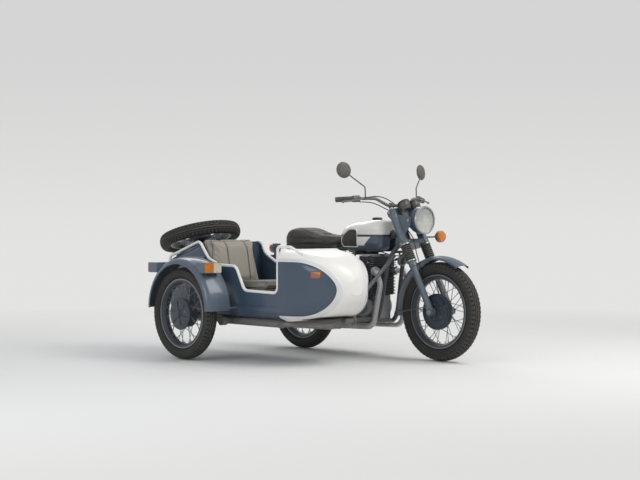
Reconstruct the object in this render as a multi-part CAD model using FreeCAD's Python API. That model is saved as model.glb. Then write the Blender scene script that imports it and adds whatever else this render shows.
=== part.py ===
# A motorcycle with a single-seat sidecar on its right side, standing on its three wheels.
# Units are millimetres. X points forward, Y to the left and Z up. Shapes are built about the
# rear wheel's contact point on the motorcycle's centre plane, and are moved at the end so that
# the origin is the middle of the underside of the box that the whole outfit fills.

import FreeCAD
import Part
import math
import os
from FreeCAD import Vector as V

os.makedirs("parts", exist_ok=True)

# ---------------------------------------------------------------- driving dimensions

wheelbase = 1390.0            # rear axle to front axle
track = 1204.0                # motorcycle's centre plane to the sidecar wheel's
wheel_lead = 90.0             # sidecar axle ahead of the rear axle

front_tyre_r = 340.0          # 19 inch rim
front_bead_r = 241.0
rear_tyre_r = 319.0           # 18 inch rim, also on the sidecar
rear_bead_r = 228.5
spare_tyre_r = 300.0
spare_bead_r = 212.0
tyre_width = 98.0
rim_inside = 54.0             # between the flanges
flange_height = 13.0
flange_thickness = 5.0
well_depth = 20.0
spoke_r = 2.2
spoke_count = 36
axle_r = 10.0
hub_wall = 2.0                # hub material inside the bore's radius, drilled away
running_gap = 0.05            # a shaft in its own bore
moving_gap = 6.0              # between a moving piece and what it passes
touch_gap = 0.3               # between a soft piece and what carries it
past = 200.0                  # how far a drill reaches past the middle

rake = 28.0                   # steering axis from the vertical, degrees
fork_offset = 55.0            # legs ahead of the steering axis
leg_spread = 100.0            # each leg from the centre plane
slider_r = 23.0
stanchion_r = 17.5
gaiter_r = 36.0
gaiter_groove = 10.0
gaiter_rings = 9
shroud_r = 31.0
slider_top = 385.0            # along the leg, from the axle
gaiter_top = 515.0
lower_yoke_top = 545.0
head_bottom = 552.0
head_top = 752.0
upper_yoke_bottom = 759.0
upper_yoke_top = 785.0
head_tube_r = 30.0
stem_r = 14.0
yoke_back = 34.0              # behind the legs
yoke_front = 36.0             # ahead of the legs
yoke_side = 26.0              # outside the legs

frame_tube_r = 16.0
rail_r = 17.0                 # the rails under the seat
cradle_spread = 90.0          # each cradle tube from the centre plane
cradle_z = 245.0
pivot_x = rear_tyre_r + 31.0  # swing-arm pivot
pivot_z = 320.0
guard_clearance = 49.0        # rear mudguard over its tyre
rail_clearance = 75.0         # seat rail over the rear mudguard
seat_rail_z = 2 * rear_tyre_r + guard_clearance + rail_clearance

body_half = 290.0             # sidecar body's half width
body_inset = 464.0            # its centre plane inside the sidecar wheel's
body_y = body_inset - track
body_wall = 8.0
chassis_tube_r = 26.0
chassis_z = 272.0
floor_z = chassis_z + chassis_tube_r + touch_gap
cowl_x = 870.0                # back edge of the cowl, and front of the cockpit
bulkhead_x = 30.0             # between the seat and the trunk
tail_x = -345.0
tail_half = 268.0
deck_high = 812.0             # the rear deck at the bulkhead
deck_low = 700.0              # and at the tail
bead_r = 10.0


# ---------------------------------------------------------------- small helpers

def rod(start, end, radius):
    """A round bar from one point to another."""
    axis = end - start
    return Part.makeCylinder(radius, axis.Length, start, axis)


def cross_rod(x, z, half, radius):
    """A round bar across the machine."""
    return rod(V(x, -half, z), V(x, half, z), radius)


def drill(centre, radius):
    """A round hole right across, through a point."""
    return rod(centre - V(0, past, 0), centre + V(0, past, 0), radius)


def block(x0, x1, y0, y1, z0, z1):
    """A square block between two corners."""
    return Part.makeBox(x1 - x0, y1 - y0, z1 - z0, V(x0, y0, z0))


def closed(edges):
    """One wire of the edges of an outline."""
    return Part.Wire([edge.toShape() for edge in edges])


def route(points, radii):
    """Straight runs through the points, with a tangent arc of the given radius at each inner point."""
    edges = []
    start = points[0]
    for before, corner, after, radius in zip(points, points[1:], points[2:], radii):
        into = (corner - before).normalize()
        out = (after - corner).normalize()
        turn = into.getAngle(out)
        reach = radius * math.tan(turn / 2)
        arc_start = corner - into * reach
        arc_end = corner + out * reach
        middle = corner + (out - into).normalize() * (radius / math.cos(turn / 2) - radius)
        if (arc_start - start).Length > 0.01:
            edges.append(Part.LineSegment(start, arc_start))
        edges.append(Part.Arc(arc_start, middle, arc_end))
        start = arc_end
    edges.append(Part.LineSegment(start, points[-1]))
    return closed(edges)


def tube(points, radii, radius):
    """A bent round bar along a route."""
    wire = route(points, radii)
    first = wire.Edges[0]
    tangent = first.tangentAt(first.FirstParameter)
    circle = Part.Wire(Part.makeCircle(radius, points[0], tangent))
    return wire.makePipeShell([circle], True, True)


def plate(points, radii, depth):
    """A flat plate: a closed outline with rounded corners, pushed along depth."""
    middle = (points[0] + points[1]) * 0.5
    rounded = route([middle] + points[1:] + [points[0], middle], list(radii[1:]) + [radii[0]])
    return Part.Face(rounded).extrude(depth)


def turned(pairs, centre, axis=V(0, 1, 0), up=V(0, 0, 1)):
    """A turned piece from a polygon of (radius, along the axis) pairs."""
    corners = [centre + up * radius + axis * along for radius, along in pairs]
    return Part.Face(Part.makePolygon(corners + corners[:1])).revolve(centre, axis, 360)


def fused(shapes):
    """One solid of several that overlap."""
    return shapes[0].multiFuse(list(shapes[1:])).removeSplitter()


def main_solid(shape):
    """The largest solid of a cut, without the slivers that the cut leaves."""
    return max(shape.Solids, key=lambda solid: solid.Volume)


def from_front(back, y, up):
    """A point measured back and up from the front axle."""
    return V(wheelbase - back, y, front_tyre_r + up)


def bearing(degrees):
    """A direction in the machine's side view, up from straight ahead."""
    return V(math.cos(math.radians(degrees)), 0, math.sin(math.radians(degrees)))


# ---------------------------------------------------------------- wheels

shoulder_drop = 13.0          # tread's edge below its crown
shoulder_share = 0.84         # tread's width as a share of the tyre's
belly_share = 0.52            # where the sidewall is widest, from the bead to the tread
lip_cover = 2.0               # tyre over the rim's flange
rim_lip = 6.0
rim_well_half = 12.0
spoke_sink = 5.0              # spoke ends inside the rim and the hub
flange_sink = 4.0
spoke_lean = math.radians(26)


def tyre(centre, outer_r, bead_at):
    """A tyre: its beads sit between the rim's flanges."""
    half = tyre_width / 2
    seat = rim_inside / 2
    lip = bead_at + flange_height + lip_cover
    tread_r = outer_r - shoulder_drop
    tread = half * shoulder_share
    belly = lip + (tread_r - lip) * belly_share

    def at(radius, along):
        return centre + V(0, along, radius)

    outline = closed([
        Part.LineSegment(at(bead_at, -seat), at(lip, -seat)),
        Part.Arc(at(lip, -seat), at(belly, -half), at(tread_r, -tread)),
        Part.Arc(at(tread_r, -tread), at(outer_r, 0), at(tread_r, tread)),
        Part.Arc(at(tread_r, tread), at(belly, half), at(lip, seat)),
        Part.LineSegment(at(lip, seat), at(bead_at, seat)),
        Part.LineSegment(at(bead_at, seat), at(bead_at, -seat)),
    ])
    return Part.Face(outline).revolve(centre, V(0, 1, 0), 360)


def wire_wheel(centre, bead_at, hub_profile, flanges):
    """Rim, crossed spokes and hub in one piece; each flange is a (radius, along) pair."""
    seat = rim_inside / 2
    out = seat + flange_thickness
    flange = bead_at + flange_height
    well = bead_at - well_depth
    rim = turned([(flange, -out), (flange, -seat), (bead_at, -seat), (bead_at, seat), (flange, seat),
                  (flange, out), (bead_at - rim_lip, out), (well, rim_well_half),
                  (well, -rim_well_half), (bead_at - rim_lip, -out)], centre)
    pieces = [rim, turned(hub_profile, centre)]
    for index in range(spoke_count):
        flange_r, along = flanges[index % 2]
        angle = 2 * math.pi * index / spoke_count
        sweep = angle + (spoke_lean if index % 4 < 2 else -spoke_lean)
        reach = flange_r - flange_sink
        inner = V(math.cos(sweep) * reach, along, math.sin(sweep) * reach)
        outer = V(math.cos(angle) * (well + spoke_sink), math.copysign(rim_well_half / 2, along),
                  math.sin(angle) * (well + spoke_sink))
        pieces.append(rod(centre + inner, centre + outer, spoke_r))
    return fused(pieces).cut(drill(centre, axle_r + running_gap))


front_axle = V(wheelbase, 0, front_tyre_r)
rear_axle = V(0, 0, rear_tyre_r)
side_axle = V(wheel_lead, -track, rear_tyre_r)

hub_in = axle_r - hub_wall
front_drum_r = 122.0
front_drum_side = -52.0       # the drum's open side, on the right
drum_wall = 8.0
plate_depth = 14.0
drum_floor = front_drum_side + plate_depth + moving_gap
left_flange_r = 60.0
left_flange_y = 38.0
front_hub = [(hub_in, drum_floor), (left_flange_r, drum_floor), (left_flange_r, drum_floor + 14),
             (front_drum_r - drum_wall, drum_floor + 14), (front_drum_r - drum_wall, front_drum_side),
             (front_drum_r, front_drum_side), (front_drum_r, drum_floor + 18),
             (front_drum_r - drum_wall, drum_floor + 24), (42, drum_floor + 28), (34, drum_floor + 38),
             (34, left_flange_y - 6), (left_flange_r, left_flange_y), (left_flange_r, left_flange_y + 8),
             (30, left_flange_y + 12), (hub_in, left_flange_y + 12)]

rear_drum_r = 95.0
rear_drum_half = 48.0
hub_boss = 8.0
rear_hub = [(hub_in, -rear_drum_half - hub_boss), (32, -rear_drum_half - hub_boss), (32, -rear_drum_half),
            (rear_drum_r, -rear_drum_half), (rear_drum_r, rear_drum_half - hub_boss),
            (rear_drum_r - 10, rear_drum_half), (30, rear_drum_half), (30, rear_drum_half + hub_boss),
            (hub_in, rear_drum_half + hub_boss)]

cover_r = 112.0
side_drum_out = -30.0         # the sidecar drum's outer face
side_hub = [(hub_in, side_drum_out - 10), (32, side_drum_out - 10), (32, side_drum_out),
            (rear_drum_r, side_drum_out), (rear_drum_r, 40), (30, 40), (30, 48), (hub_in, 48)]

front_wheel = wire_wheel(front_axle, front_bead_r, front_hub,
                         [(left_flange_r, left_flange_y + 4), (front_drum_r, drum_floor)])
rear_wheel = wire_wheel(rear_axle, rear_bead_r, rear_hub, [(rear_drum_r, 34), (rear_drum_r, -34)])
side_wheel = wire_wheel(side_axle, rear_bead_r, side_hub, [(rear_drum_r, 26), (rear_drum_r, -26)])
front_tyre = tyre(front_axle, front_tyre_r, front_bead_r)
rear_tyre = tyre(rear_axle, rear_tyre_r, rear_bead_r)
side_tyre = tyre(side_axle, rear_tyre_r, rear_bead_r)

# The dished cover on the outside of the sidecar wheel's hub
cover_seat = side_drum_out - touch_gap
hub_cover = turned([(0, -62), (26, -62), (30, -56), (88, -52), (cover_r, -44), (cover_r, -36),
                    (rear_drum_r - 6, cover_seat), (33, cover_seat), (33, -42), (0, -42)], side_axle)

# ---------------------------------------------------------------- front fork and steering

slope = math.radians(rake)
up_leg = V(-math.sin(slope), 0, math.cos(slope))
ahead = V(math.cos(slope), 0, math.sin(slope))
steer_foot = front_axle - ahead * fork_offset


def on_leg(distance, side=1):
    return front_axle + V(0, side * leg_spread, 0) + up_leg * distance


def on_axis(distance):
    return steer_foot + up_leg * distance


def yoke(bottom, top):
    """A plate that clamps both legs and carries the steering stem."""
    back = ahead * yoke_back
    front = ahead * yoke_front
    out = V(0, yoke_side, 0)
    waist = V(0, 42, 0)
    corners = [on_axis(bottom) - back + waist, on_leg(bottom) - back + out, on_leg(bottom) + front + out,
               on_leg(bottom, -1) + front - out, on_leg(bottom, -1) - back - out,
               on_axis(bottom) - back - waist]
    slab = plate(corners, [10, 20, 24, 24, 20, 10], up_leg * (top - bottom))
    for side in (1, -1):
        slab = slab.cut(rod(on_leg(bottom - 5, side), on_leg(top + 5, side), stanchion_r))
    return slab


upper_yoke = yoke(upper_yoke_bottom, upper_yoke_top)
stem = rod(on_axis(gaiter_top + 5), on_axis(upper_yoke_bottom), stem_r)
lower_yoke = fused([yoke(gaiter_top, lower_yoke_top), stem])


def fork_leg(side):
    """Stanchion, slider with its foot lug, and the axle's clamp."""
    stanchion = rod(on_leg(slider_top - 60, side), on_leg(upper_yoke_top + 8, side), stanchion_r)
    slider = rod(on_leg(10, side), on_leg(slider_top - 24, side), slider_r)
    collar = rod(on_leg(slider_top - 40, side), on_leg(slider_top, side), slider_r + 5)
    lug_half = V(0, 21, 0)
    lug = rod(on_leg(0, side) - lug_half, on_leg(0, side) + lug_half, slider_r + 4)
    return fused([slider, collar, stanchion, lug]).cut(drill(front_axle, axle_r))


def gaiter(side):
    """A ringed rubber gaiter around the stanchion."""
    long = gaiter_top - slider_top
    pitch = long / gaiter_rings
    pairs = [(stanchion_r, 0)]
    for ring in range(gaiter_rings):
        pairs += [(gaiter_r - gaiter_groove, ring * pitch), (gaiter_r, (ring + 0.35) * pitch),
                  (gaiter_r, (ring + 0.65) * pitch)]
    pairs += [(gaiter_r - gaiter_groove, long), (stanchion_r, long)]
    return turned(pairs, on_leg(slider_top, side), up_leg, ahead)


lamp_centre = from_front(200, 0, 625)
lamp_r = 95.0
lamp_deep = 78.0
lamp_front = 50.0             # the shell's front edge, ahead of its centre
ear_gap = 3.0
ear_thickness = 5.0


def lamp_ear(side):
    """The shroud around the upper stanchion, with the plate that holds the headlamp."""
    long = upper_yoke_bottom - lower_yoke_top
    sleeve = turned([(stanchion_r, 0), (shroud_r, 0), (shroud_r, long), (stanchion_r, long)],
                    on_leg(lower_yoke_top, side), up_leg, ahead)
    inner = lamp_r + ear_gap
    outline = [on_leg(lower_yoke_top + 25) + ahead * 12, lamp_centre + V(12, 0, -26),
               lamp_centre + V(12, 0, 26), on_leg(upper_yoke_bottom - 12) + ahead * 12]
    flat = [V(p.x, side * inner, p.z) for p in outline]
    ear = plate(flat, [12, 22, 22, 12], V(0, side * ear_thickness, 0))
    ear = ear.cut(rod(on_leg(0, side), on_leg(900, side), shroud_r - 2))
    screw = rod(lamp_centre + V(-6, side * (lamp_r - 2), 0), lamp_centre + V(-6, side * (inner + 12), 0), 9)
    return fused([sleeve, ear, screw])


rim_in = lamp_r - 5
shell_profile = [(0, -lamp_deep), (34, 4 - lamp_deep), (68, -52), (86, -22), (lamp_r, 4),
                 (lamp_r, lamp_front), (rim_in, lamp_front), (rim_in, lamp_front - 10), (0, lamp_front - 10)]
ears = [lamp_ear(1), lamp_ear(-1)]
headlamp_shell = turned(shell_profile, lamp_centre, V(1, 0, 0)).cut(ears[0]).cut(ears[1])
lens_profile = [(0, lamp_front - 9), (rim_in - 1, lamp_front - 9), (rim_in - 1, lamp_front),
                (rim_in - 15, lamp_front + 6), (0, lamp_front + 12)]
headlamp_lens = turned(lens_profile, lamp_centre, V(1, 0, 0))

pod_r = 44.5
pod_spread = 50.0
pod_tilt = 35.0
pod_axis = bearing(90 + pod_tilt)
pod_side = bearing(pod_tilt)


def pod_base(side):
    return from_front(296, side * pod_spread, 724)


def pod(side):
    """A round instrument in its cup, on an arm from the upper yoke."""
    base = pod_base(side)
    cup = turned([(0, -34), (pod_r - 14, -34), (pod_r - 3, -10), (pod_r, 24), (pod_r - 4, 30),
                  (pod_r - 6, 26), (0, 26)], base, pod_axis, pod_side)
    root = on_leg(upper_yoke_top) + ahead * 18
    arm = rod(V(root.x, side * pod_spread, root.z), base, 7)
    return fused([cup, arm]).cut(upper_yoke)


instruments = Part.makeCompound([pod(1), pod(-1)])

bar_r = 11.0
bar_half = 440.0
bar_bend_half = 300.0
clamp_half = 62.0


def bar_tip(side):
    return from_front(582, side * bar_half, 768)


def bar_bend(side):
    return from_front(495, side * bar_bend_half, 776)


half_bar = [bar_tip(-1), bar_bend(-1), from_front(445, -190, 778), from_front(415, -95, 728)]
bar_points = half_bar + [V(p.x, -p.y, p.z) for p in reversed(half_bar)]
handlebar = tube(bar_points, [60, 90, 60, 60, 90, 60], bar_r)
risers = []
for side in (1, -1):
    foot = on_axis(upper_yoke_top - 4)
    cradle_top = from_front(415, side * clamp_half, 728)
    risers.append(rod(V(foot.x, cradle_top.y, foot.z), cradle_top, 14))
    risers.append(rod(cradle_top - V(0, 13, 0), cradle_top + V(0, 13, 0), bar_r + 9))
upper_yoke = fused([upper_yoke] + risers).cut(handlebar)

grip_r = 17.0
grip_end = 4.0                # past the bar's end
grip_long = 122.0
housing_r = 24.0
housing_start = grip_long + 1.5
housing_long = 44.0
mirror_toe = 15.0             # each mirror's face turned in, degrees
mirror_r = 57.0


def bar_control(side):
    """A switch housing with its lever and the lever's pivot."""
    tip = bar_tip(side)
    along = (bar_bend(side) - tip).normalize()
    housing = rod(tip + along * housing_start, tip + along * (housing_start + housing_long), housing_r)
    pivot = tip + along * (housing_start + 24)
    perch = rod(pivot, pivot + V(40, 0, 0), 11)
    lever_tip = tip + along * 10 + V(56, 0, -16)
    lever = tube([pivot + V(30, 0, 0), pivot + V(44, 0, -6), lever_tip], [9], 6)
    ball = Part.makeSphere(9, lever_tip)
    return fused([housing, perch, lever, ball]).cut(handlebar)


def mirror(side):
    """A round mirror on its bent stem."""
    foot = from_front(475, side * 258, 787)
    knee = foot + V(-3, 0, 69)
    head = from_front(544, side * 385, 960)
    stalk = tube([foot, knee, head], [26], 4.5)
    toe = math.radians(mirror_toe)
    facing = V(math.cos(toe), side * math.sin(toe), 0.12).normalize()
    lift = (V(0, 0, 1) - facing * facing.z).normalize()
    disc = turned([(0, 14), (34, 11), (52, 2), (mirror_r, -6), (mirror_r - 2, -9), (0, -9)],
                  head + V(-6, side * 7, 15), facing, lift)
    return fused([stalk, disc]).cut(handlebar)


grips = []
for side in (1, -1):
    tip = bar_tip(side)
    along = (bar_bend(side) - tip).normalize()
    sleeve = rod(tip - along * grip_end, tip + along * grip_long, grip_r)
    grips.append(sleeve.cut(rod(tip, bar_bend(side), bar_r)))
controls = [bar_control(1), bar_control(-1)]
mirrors = [mirror(1), mirror(-1)]

# Front mudguard: a shallow arched blade between the legs, with its stays
guard_r = front_tyre_r + 42.0
guard_half = 60.0
guard_skirt = 26.0
guard_edge = 14.0             # the blade's edge below its crown
sheet = 3.0
guard_start = 57.0
guard_sweep = 130.0


def guard_section(centre, direction, radius, half, skirt):
    """The cross-section of an arched mudguard, in the plane of the wheel's axis and a spoke."""
    edge = radius - guard_edge
    foot = radius - skirt
    inner = half - sheet

    def at(r, y):
        return centre + direction * r + V(0, y, 0)

    return closed([
        Part.LineSegment(at(foot, -half), at(edge, -half)),
        Part.Arc(at(edge, -half), at(radius, 0), at(edge, half)),
        Part.LineSegment(at(edge, half), at(foot, half)),
        Part.LineSegment(at(foot, half), at(foot, inner)),
        Part.LineSegment(at(foot, inner), at(edge, inner)),
        Part.Arc(at(edge, inner), at(radius - sheet, 0), at(edge, -inner)),
        Part.LineSegment(at(edge, -inner), at(foot, -inner)),
        Part.LineSegment(at(foot, -inner), at(foot, -half)),
    ])


def swept_guard(centre, start, sweep, radius, half, skirt):
    """A mudguard's blade, swept backwards about its axle."""
    section = guard_section(centre, bearing(start), radius, half, skirt)
    return Part.Face(section).revolve(centre, V(0, -1, 0), sweep)


stays = []
for side in (1, -1):
    rear_end = front_axle + V(-(guard_r - 16), side * (guard_half + 3), -10)
    foot = on_leg(38, side) + V(-30, -side * 14, 0)
    stays.append(tube([rear_end, rear_end + V(20, side * 12, -8), foot], [8], 4))
    bridge = on_leg(slider_top - 12, side)
    stays.append(rod(V(bridge.x, side * (guard_half - sheet), bridge.z),
                     V(bridge.x, side * (leg_spread - slider_r - 2), bridge.z), 7))
legs = [fork_leg(1), fork_leg(-1)]
front_blade = swept_guard(front_axle, guard_start, guard_sweep, guard_r, guard_half, guard_skirt)
front_guard = fused([front_blade] + stays)
front_guard = front_guard.cut(legs[0]).cut(legs[1])

signal_r = 42.0
signal_centre = from_front(200, 212, 510)
signal_body = turned([(0, -26), (signal_r - 12, -26), (signal_r, -8), (signal_r, 4), (0, 4)],
                     signal_centre, V(1, 0, 0))
signal_stalk = tube([from_front(268, 128, 506), from_front(240, 150, 507), from_front(218, 205, 510)],
                    [20], 6)
signal_housing = fused([signal_body, signal_stalk]).cut(ears[0])
signal_lens = turned([(0, 4), (signal_r - 1, 4), (signal_r - 1, 14), (signal_r - 9, 25), (0, 31)],
                     signal_centre, V(1, 0, 0))

plate_r = front_drum_r - drum_wall - moving_gap
cam_at = front_axle + V(-66, 0, 62)
cam_lever_y = front_drum_side - 11
brake_plate = fused([
    turned([(axle_r, front_drum_side - 6), (30, front_drum_side - 6), (34, front_drum_side + 2),
            (plate_r, front_drum_side + 2), (plate_r, front_drum_side + plate_depth),
            (axle_r, front_drum_side + plate_depth)], front_axle),
    rod(V(cam_at.x, front_drum_side + 8, cam_at.z), V(cam_at.x, cam_lever_y - 4, cam_at.z), 8),
    rod(V(cam_at.x, cam_lever_y, cam_at.z), V(cam_at.x - 30, cam_lever_y, cam_at.z + 46), 4),
])
front_spindle = rod(front_axle - V(0, leg_spread + 30, 0), front_axle + V(0, leg_spread + 30, 0), axle_r)
drive_in = left_flange_y + 12 + moving_gap
speed_drive = turned([(axle_r, drive_in), (25, drive_in), (25, drive_in + 18), (axle_r, drive_in + 18)],
                     front_axle)
speed_drive = speed_drive.fuse(rod(front_axle + V(-14, drive_in + 9, 8),
                                   front_axle + V(-40, drive_in + 9, 24), 7))

# ---------------------------------------------------------------- cables held along the fork and bar

cable_r = 3.5


def cable(points):
    """A cable through its points, with arcs as large as its runs allow."""
    radii = []
    for before, corner, after in zip(points, points[1:], points[2:]):
        into = corner - before
        out = after - corner
        radii.append(0.45 * min(into.Length, out.Length) / math.tan(into.getAngle(out) / 2))
    shape = tube(points, radii, cable_r)
    print("cable", round(route(points, radii).Length, 1), [round(radius) for radius in radii])
    return shape


def lever_end(side):
    """Where a cable leaves its lever's pivot."""
    along = (bar_bend(side) - bar_tip(side)).normalize()
    return bar_tip(side) + along * (housing_start + 24) + V(33, -side * 10, 0)


brake_route = [lever_end(-1), from_front(413, -238, 794), from_front(374, -186, 786),
               from_front(338, -140, 756), from_front(311, -102, 716), from_front(296, -72, 668),
               from_front(288, -56, 612),
               from_front(268, -50, 556), from_front(212, -50, 504), from_front(191, -54, 446),
               from_front(172, -60, 390), from_front(141, -66, 336), from_front(126, -70, 274),
               from_front(118, -70, 212), from_front(109, -66, 156), from_front(99, cam_lever_y, 112)]
speed_route = [pod_base(1) - pod_axis * 34, from_front(272, 48, 662), from_front(281, 46, 610),
               from_front(264, 48, 556), from_front(211, 50, 502), from_front(189, 54, 446),
               from_front(171, 61, 390), from_front(140, 67, 334), from_front(125, 70, 272),
               from_front(112, 70, 208), from_front(93, 70, 148), from_front(72, 69, 94),
               from_front(51, 66, 46), from_front(40, drive_in + 9, 24)]
throttle_route = [lever_end(-1) + V(-14, 0, -22), from_front(450, -236, 752), from_front(431, -184, 735),
                  from_front(413, -138, 711), from_front(397, -103, 694), from_front(388, -87, 684)]
clutch_route = [V(p.x, -p.y, p.z) for p in throttle_route]
cable_ends = front_guard.fuse([brake_plate, speed_drive, upper_yoke] + controls + [pod(1)])
cables = [main_solid(cable(points).cut(cable_ends))
          for points in (brake_route, speed_route, throttle_route, clutch_route)]

# ---------------------------------------------------------------- motorcycle frame

down_top = on_axis(head_bottom + 45)
loop_end_x = -90.0
spine_end = V(pivot_x + 128, 0, seat_rail_z)
spine_bend = from_front(490, 0, 502)
spine_r = 20.0
stand_x = pivot_x + 120
stand_z = cradle_z - 42
stand_pin_r = 11.0
lug_in = 56.0
lug_out = 68.0
bush_half = 30.0              # half the tank's tunnel
engine_front = wheelbase - 560
tank_front = wheelbase - 460
shock_top = V(-20, 128, seat_rail_z - 46)


def cradle(side):
    """One side of the double cradle: downtube, lower rail, rear upright and seat rail."""
    y = side * cradle_spread
    lower = tube([V(down_top.x, side * 20, down_top.z), from_front(432, y * 0.86, 350),
                  from_front(497, y, -5), V(engine_front + 30, y, cradle_z), V(pivot_x + 12, y, cradle_z),
                  V(pivot_x - 48, y, seat_rail_z)],
                 [300, 160, 60, 90], frame_tube_r)
    rail = tube([V(spine_end.x, side * 24, seat_rail_z), V(spine_end.x - 60, y, seat_rail_z),
                 V(loop_end_x, y, seat_rail_z)], [60], rail_r)
    return [lower, rail]


head_tube = rod(on_axis(head_bottom), on_axis(head_top), head_tube_r)
spine = tube([on_axis(650), spine_bend, spine_end], [120], spine_r)
horn_at = from_front(378, 0, 350)
cross_bars = [
    cross_rod(loop_end_x, seat_rail_z, cradle_spread, frame_tube_r),
    cross_rod(spine_end.x, seat_rail_z, 30, 18),
    cross_rod(pivot_x, pivot_z, cradle_spread, 18),
    cross_rod(engine_front + 10, cradle_z + 4, cradle_spread, 14),
    cross_rod(stand_x, cradle_z, cradle_spread, 14),
    cross_rod(horn_at.x - 22, horn_at.z + 52, 56, 9),
]
bushes = []
for share in (0.095, 0.711):
    seat_at = spine_bend + (spine_end - spine_bend) * share
    bushes.append(cross_rod(seat_at.x, seat_at.z, bush_half - touch_gap, spine_r + 2))
lugs = []
for side in (1, -1):
    near = min(side * lug_in, side * lug_out)
    lugs.append(rod(V(stand_x, near, stand_z), V(stand_x, near + lug_out - lug_in, stand_z), 19))
    lugs.append(block(stand_x - 12, stand_x + 12, near, near + lug_out - lug_in, stand_z, cradle_z))
    y = side * cradle_spread
    lugs.append(rod(V(shock_top.x, y - side * 8, shock_top.z), V(shock_top.x, side * 142, shock_top.z), 8))
    lugs.append(block(shock_top.x - 14, shock_top.x + 14, y - 8, y + 8, shock_top.z - 10, seat_rail_z - 4))
stem_bore = rod(on_axis(head_bottom - 5), on_axis(head_top + 5), stem_r + running_gap)
stand_bore = cross_rod(stand_x, stand_z, 90, stand_pin_r + running_gap)
frame = fused(cradle(1) + cradle(-1) + [head_tube, spine] + cross_bars + bushes + lugs)
frame = frame.cut(stem_bore).cut(stand_bore)

# ---------------------------------------------------------------- engine: an upright air-cooled twin

case_half = 78.0
case_bottom = 262.0
barrel_z = 430.0
cover_bevel = 10.0
case_rear = pivot_x + 50
# centre x, radius, how far out of the case, on each side
covers = [(engine_front - 90, 78.0, 38.0), (pivot_x + 190, 92.0, 26.0)]


def case_cover(x, radius, out):
    """A bevelled round cover that stands out of both sides of the crankcase."""
    half = case_half + out
    return turned([(0, -half), (radius - cover_bevel, -half), (radius, cover_bevel - half),
                   (radius, half - cover_bevel), (radius - cover_bevel, half), (0, half)], V(x, 0, 350))


crankcase = fused([block(case_rear, engine_front, -case_half, case_half, case_bottom, barrel_z)]
                  + [case_cover(*cover) for cover in covers]).cut(frame)
cylinder_spread = 62.0
cylinder_x = engine_front - 60
barrel_r = 50.0
fin_count = 9
fin_pitch = 22.0
fin_thickness = 7.0
fin_half = 128.0
head_fins = 5
head_fin_pitch = 15.0
head_fin_thickness = 6.0
port_z = 604.0
stack = fin_count * fin_pitch
fins = []
for side in (1, -1):
    middle = V(cylinder_x, side * cylinder_spread, barrel_z)
    fins.append(rod(middle, middle + V(0, 0, stack + head_fins * head_fin_pitch + 5), barrel_r))
    fins.append(rod(V(cylinder_x + 30, side * 74, port_z), V(cylinder_x + 90, side * 104, port_z + 2), 26))
for index in range(fin_count):
    z = barrel_z + 8 + index * fin_pitch
    corners = [V(cylinder_x - 70, -fin_half, z), V(cylinder_x + 76, -fin_half, z),
               V(cylinder_x + 76, fin_half, z), V(cylinder_x - 70, fin_half, z)]
    fins.append(plate(corners, [26, 26, 26, 26], V(0, 0, fin_thickness)))
for index in range(head_fins):
    z = barrel_z + 14 + stack + index * head_fin_pitch
    half = fin_half + 4 - 3 * index
    corners = [V(cylinder_x - 84 + 3 * index, -half, z), V(cylinder_x + 84 - 3 * index, -half, z),
               V(cylinder_x + 84 - 3 * index, half, z), V(cylinder_x - 84 + 3 * index, half, z)]
    fins.append(plate(corners, [30, 30, 30, 30], V(0, 0, head_fin_thickness)))
cylinders = fused(fins).cut(frame)

# Carburettors behind the cylinders and the air box that they breathe from
carb_z = 584.0
box_rear = case_rear + 30
intake_long = cylinder_x - barrel_r - box_rear
box_front = box_rear + intake_long * 122 / 290
slide_x = box_front + intake_long * 44 / 290
air_box = block(box_rear, box_front, -case_half - 8, case_half + 8, carb_z - 64, carb_z + 64)
carburettors = [air_box.makeFillet(18, air_box.Edges)]
for side in (1, -1):
    y = side * cylinder_spread
    throat = rod(V(box_front - 6, y, carb_z), V(cylinder_x - barrel_r + 6, y, carb_z + 4), 20)
    slide = rod(V(slide_x, y, carb_z - 44), V(slide_x, y, carb_z + 58), 22)
    cap = rod(V(slide_x, y, carb_z + 50), V(slide_x, y, carb_z + 64), 25)
    carburettors += [throat, slide, cap]
carburettors = fused(carburettors).cut(cylinders).cut(frame)

# ---------------------------------------------------------------- exhausts

header_r = 19.0
silencer_r = 34.0
pipe_y = 142.0
pipe_z = cradle_z - 41


def exhaust(side):
    """A header pipe that drops from its port and runs back to its silencer."""
    y = side * pipe_y
    silencer_x = pivot_x + 170
    pipe = tube([V(cylinder_x + 84, side * 101, port_z + 2), V(cylinder_x + 135, y, port_z + 2),
                 V(cylinder_x + 178, y, port_z - 84), V(cylinder_x + 108, y, pipe_z + 10),
                 V(silencer_x - 50, y, pipe_z)], [20, 50, 70], header_r)
    body = turned([(0, 0), (header_r, 0), (header_r + 3, 14), (silencer_r, 90), (silencer_r, 470),
                   (22, 560), (14, 566), (0, 566)],
                  V(silencer_x, y, pipe_z - 1), V(-1, 0, -0.012).normalize(), V(0, 1, 0))
    clamp = rod(V(silencer_x + 16, y, pipe_z), V(silencer_x - 14, y, pipe_z - 1), header_r + 5)
    return fused([pipe, body, clamp])


exhausts = [exhaust(side).cut(cylinders) for side in (1, -1)]

# ---------------------------------------------------------------- foot controls

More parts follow.
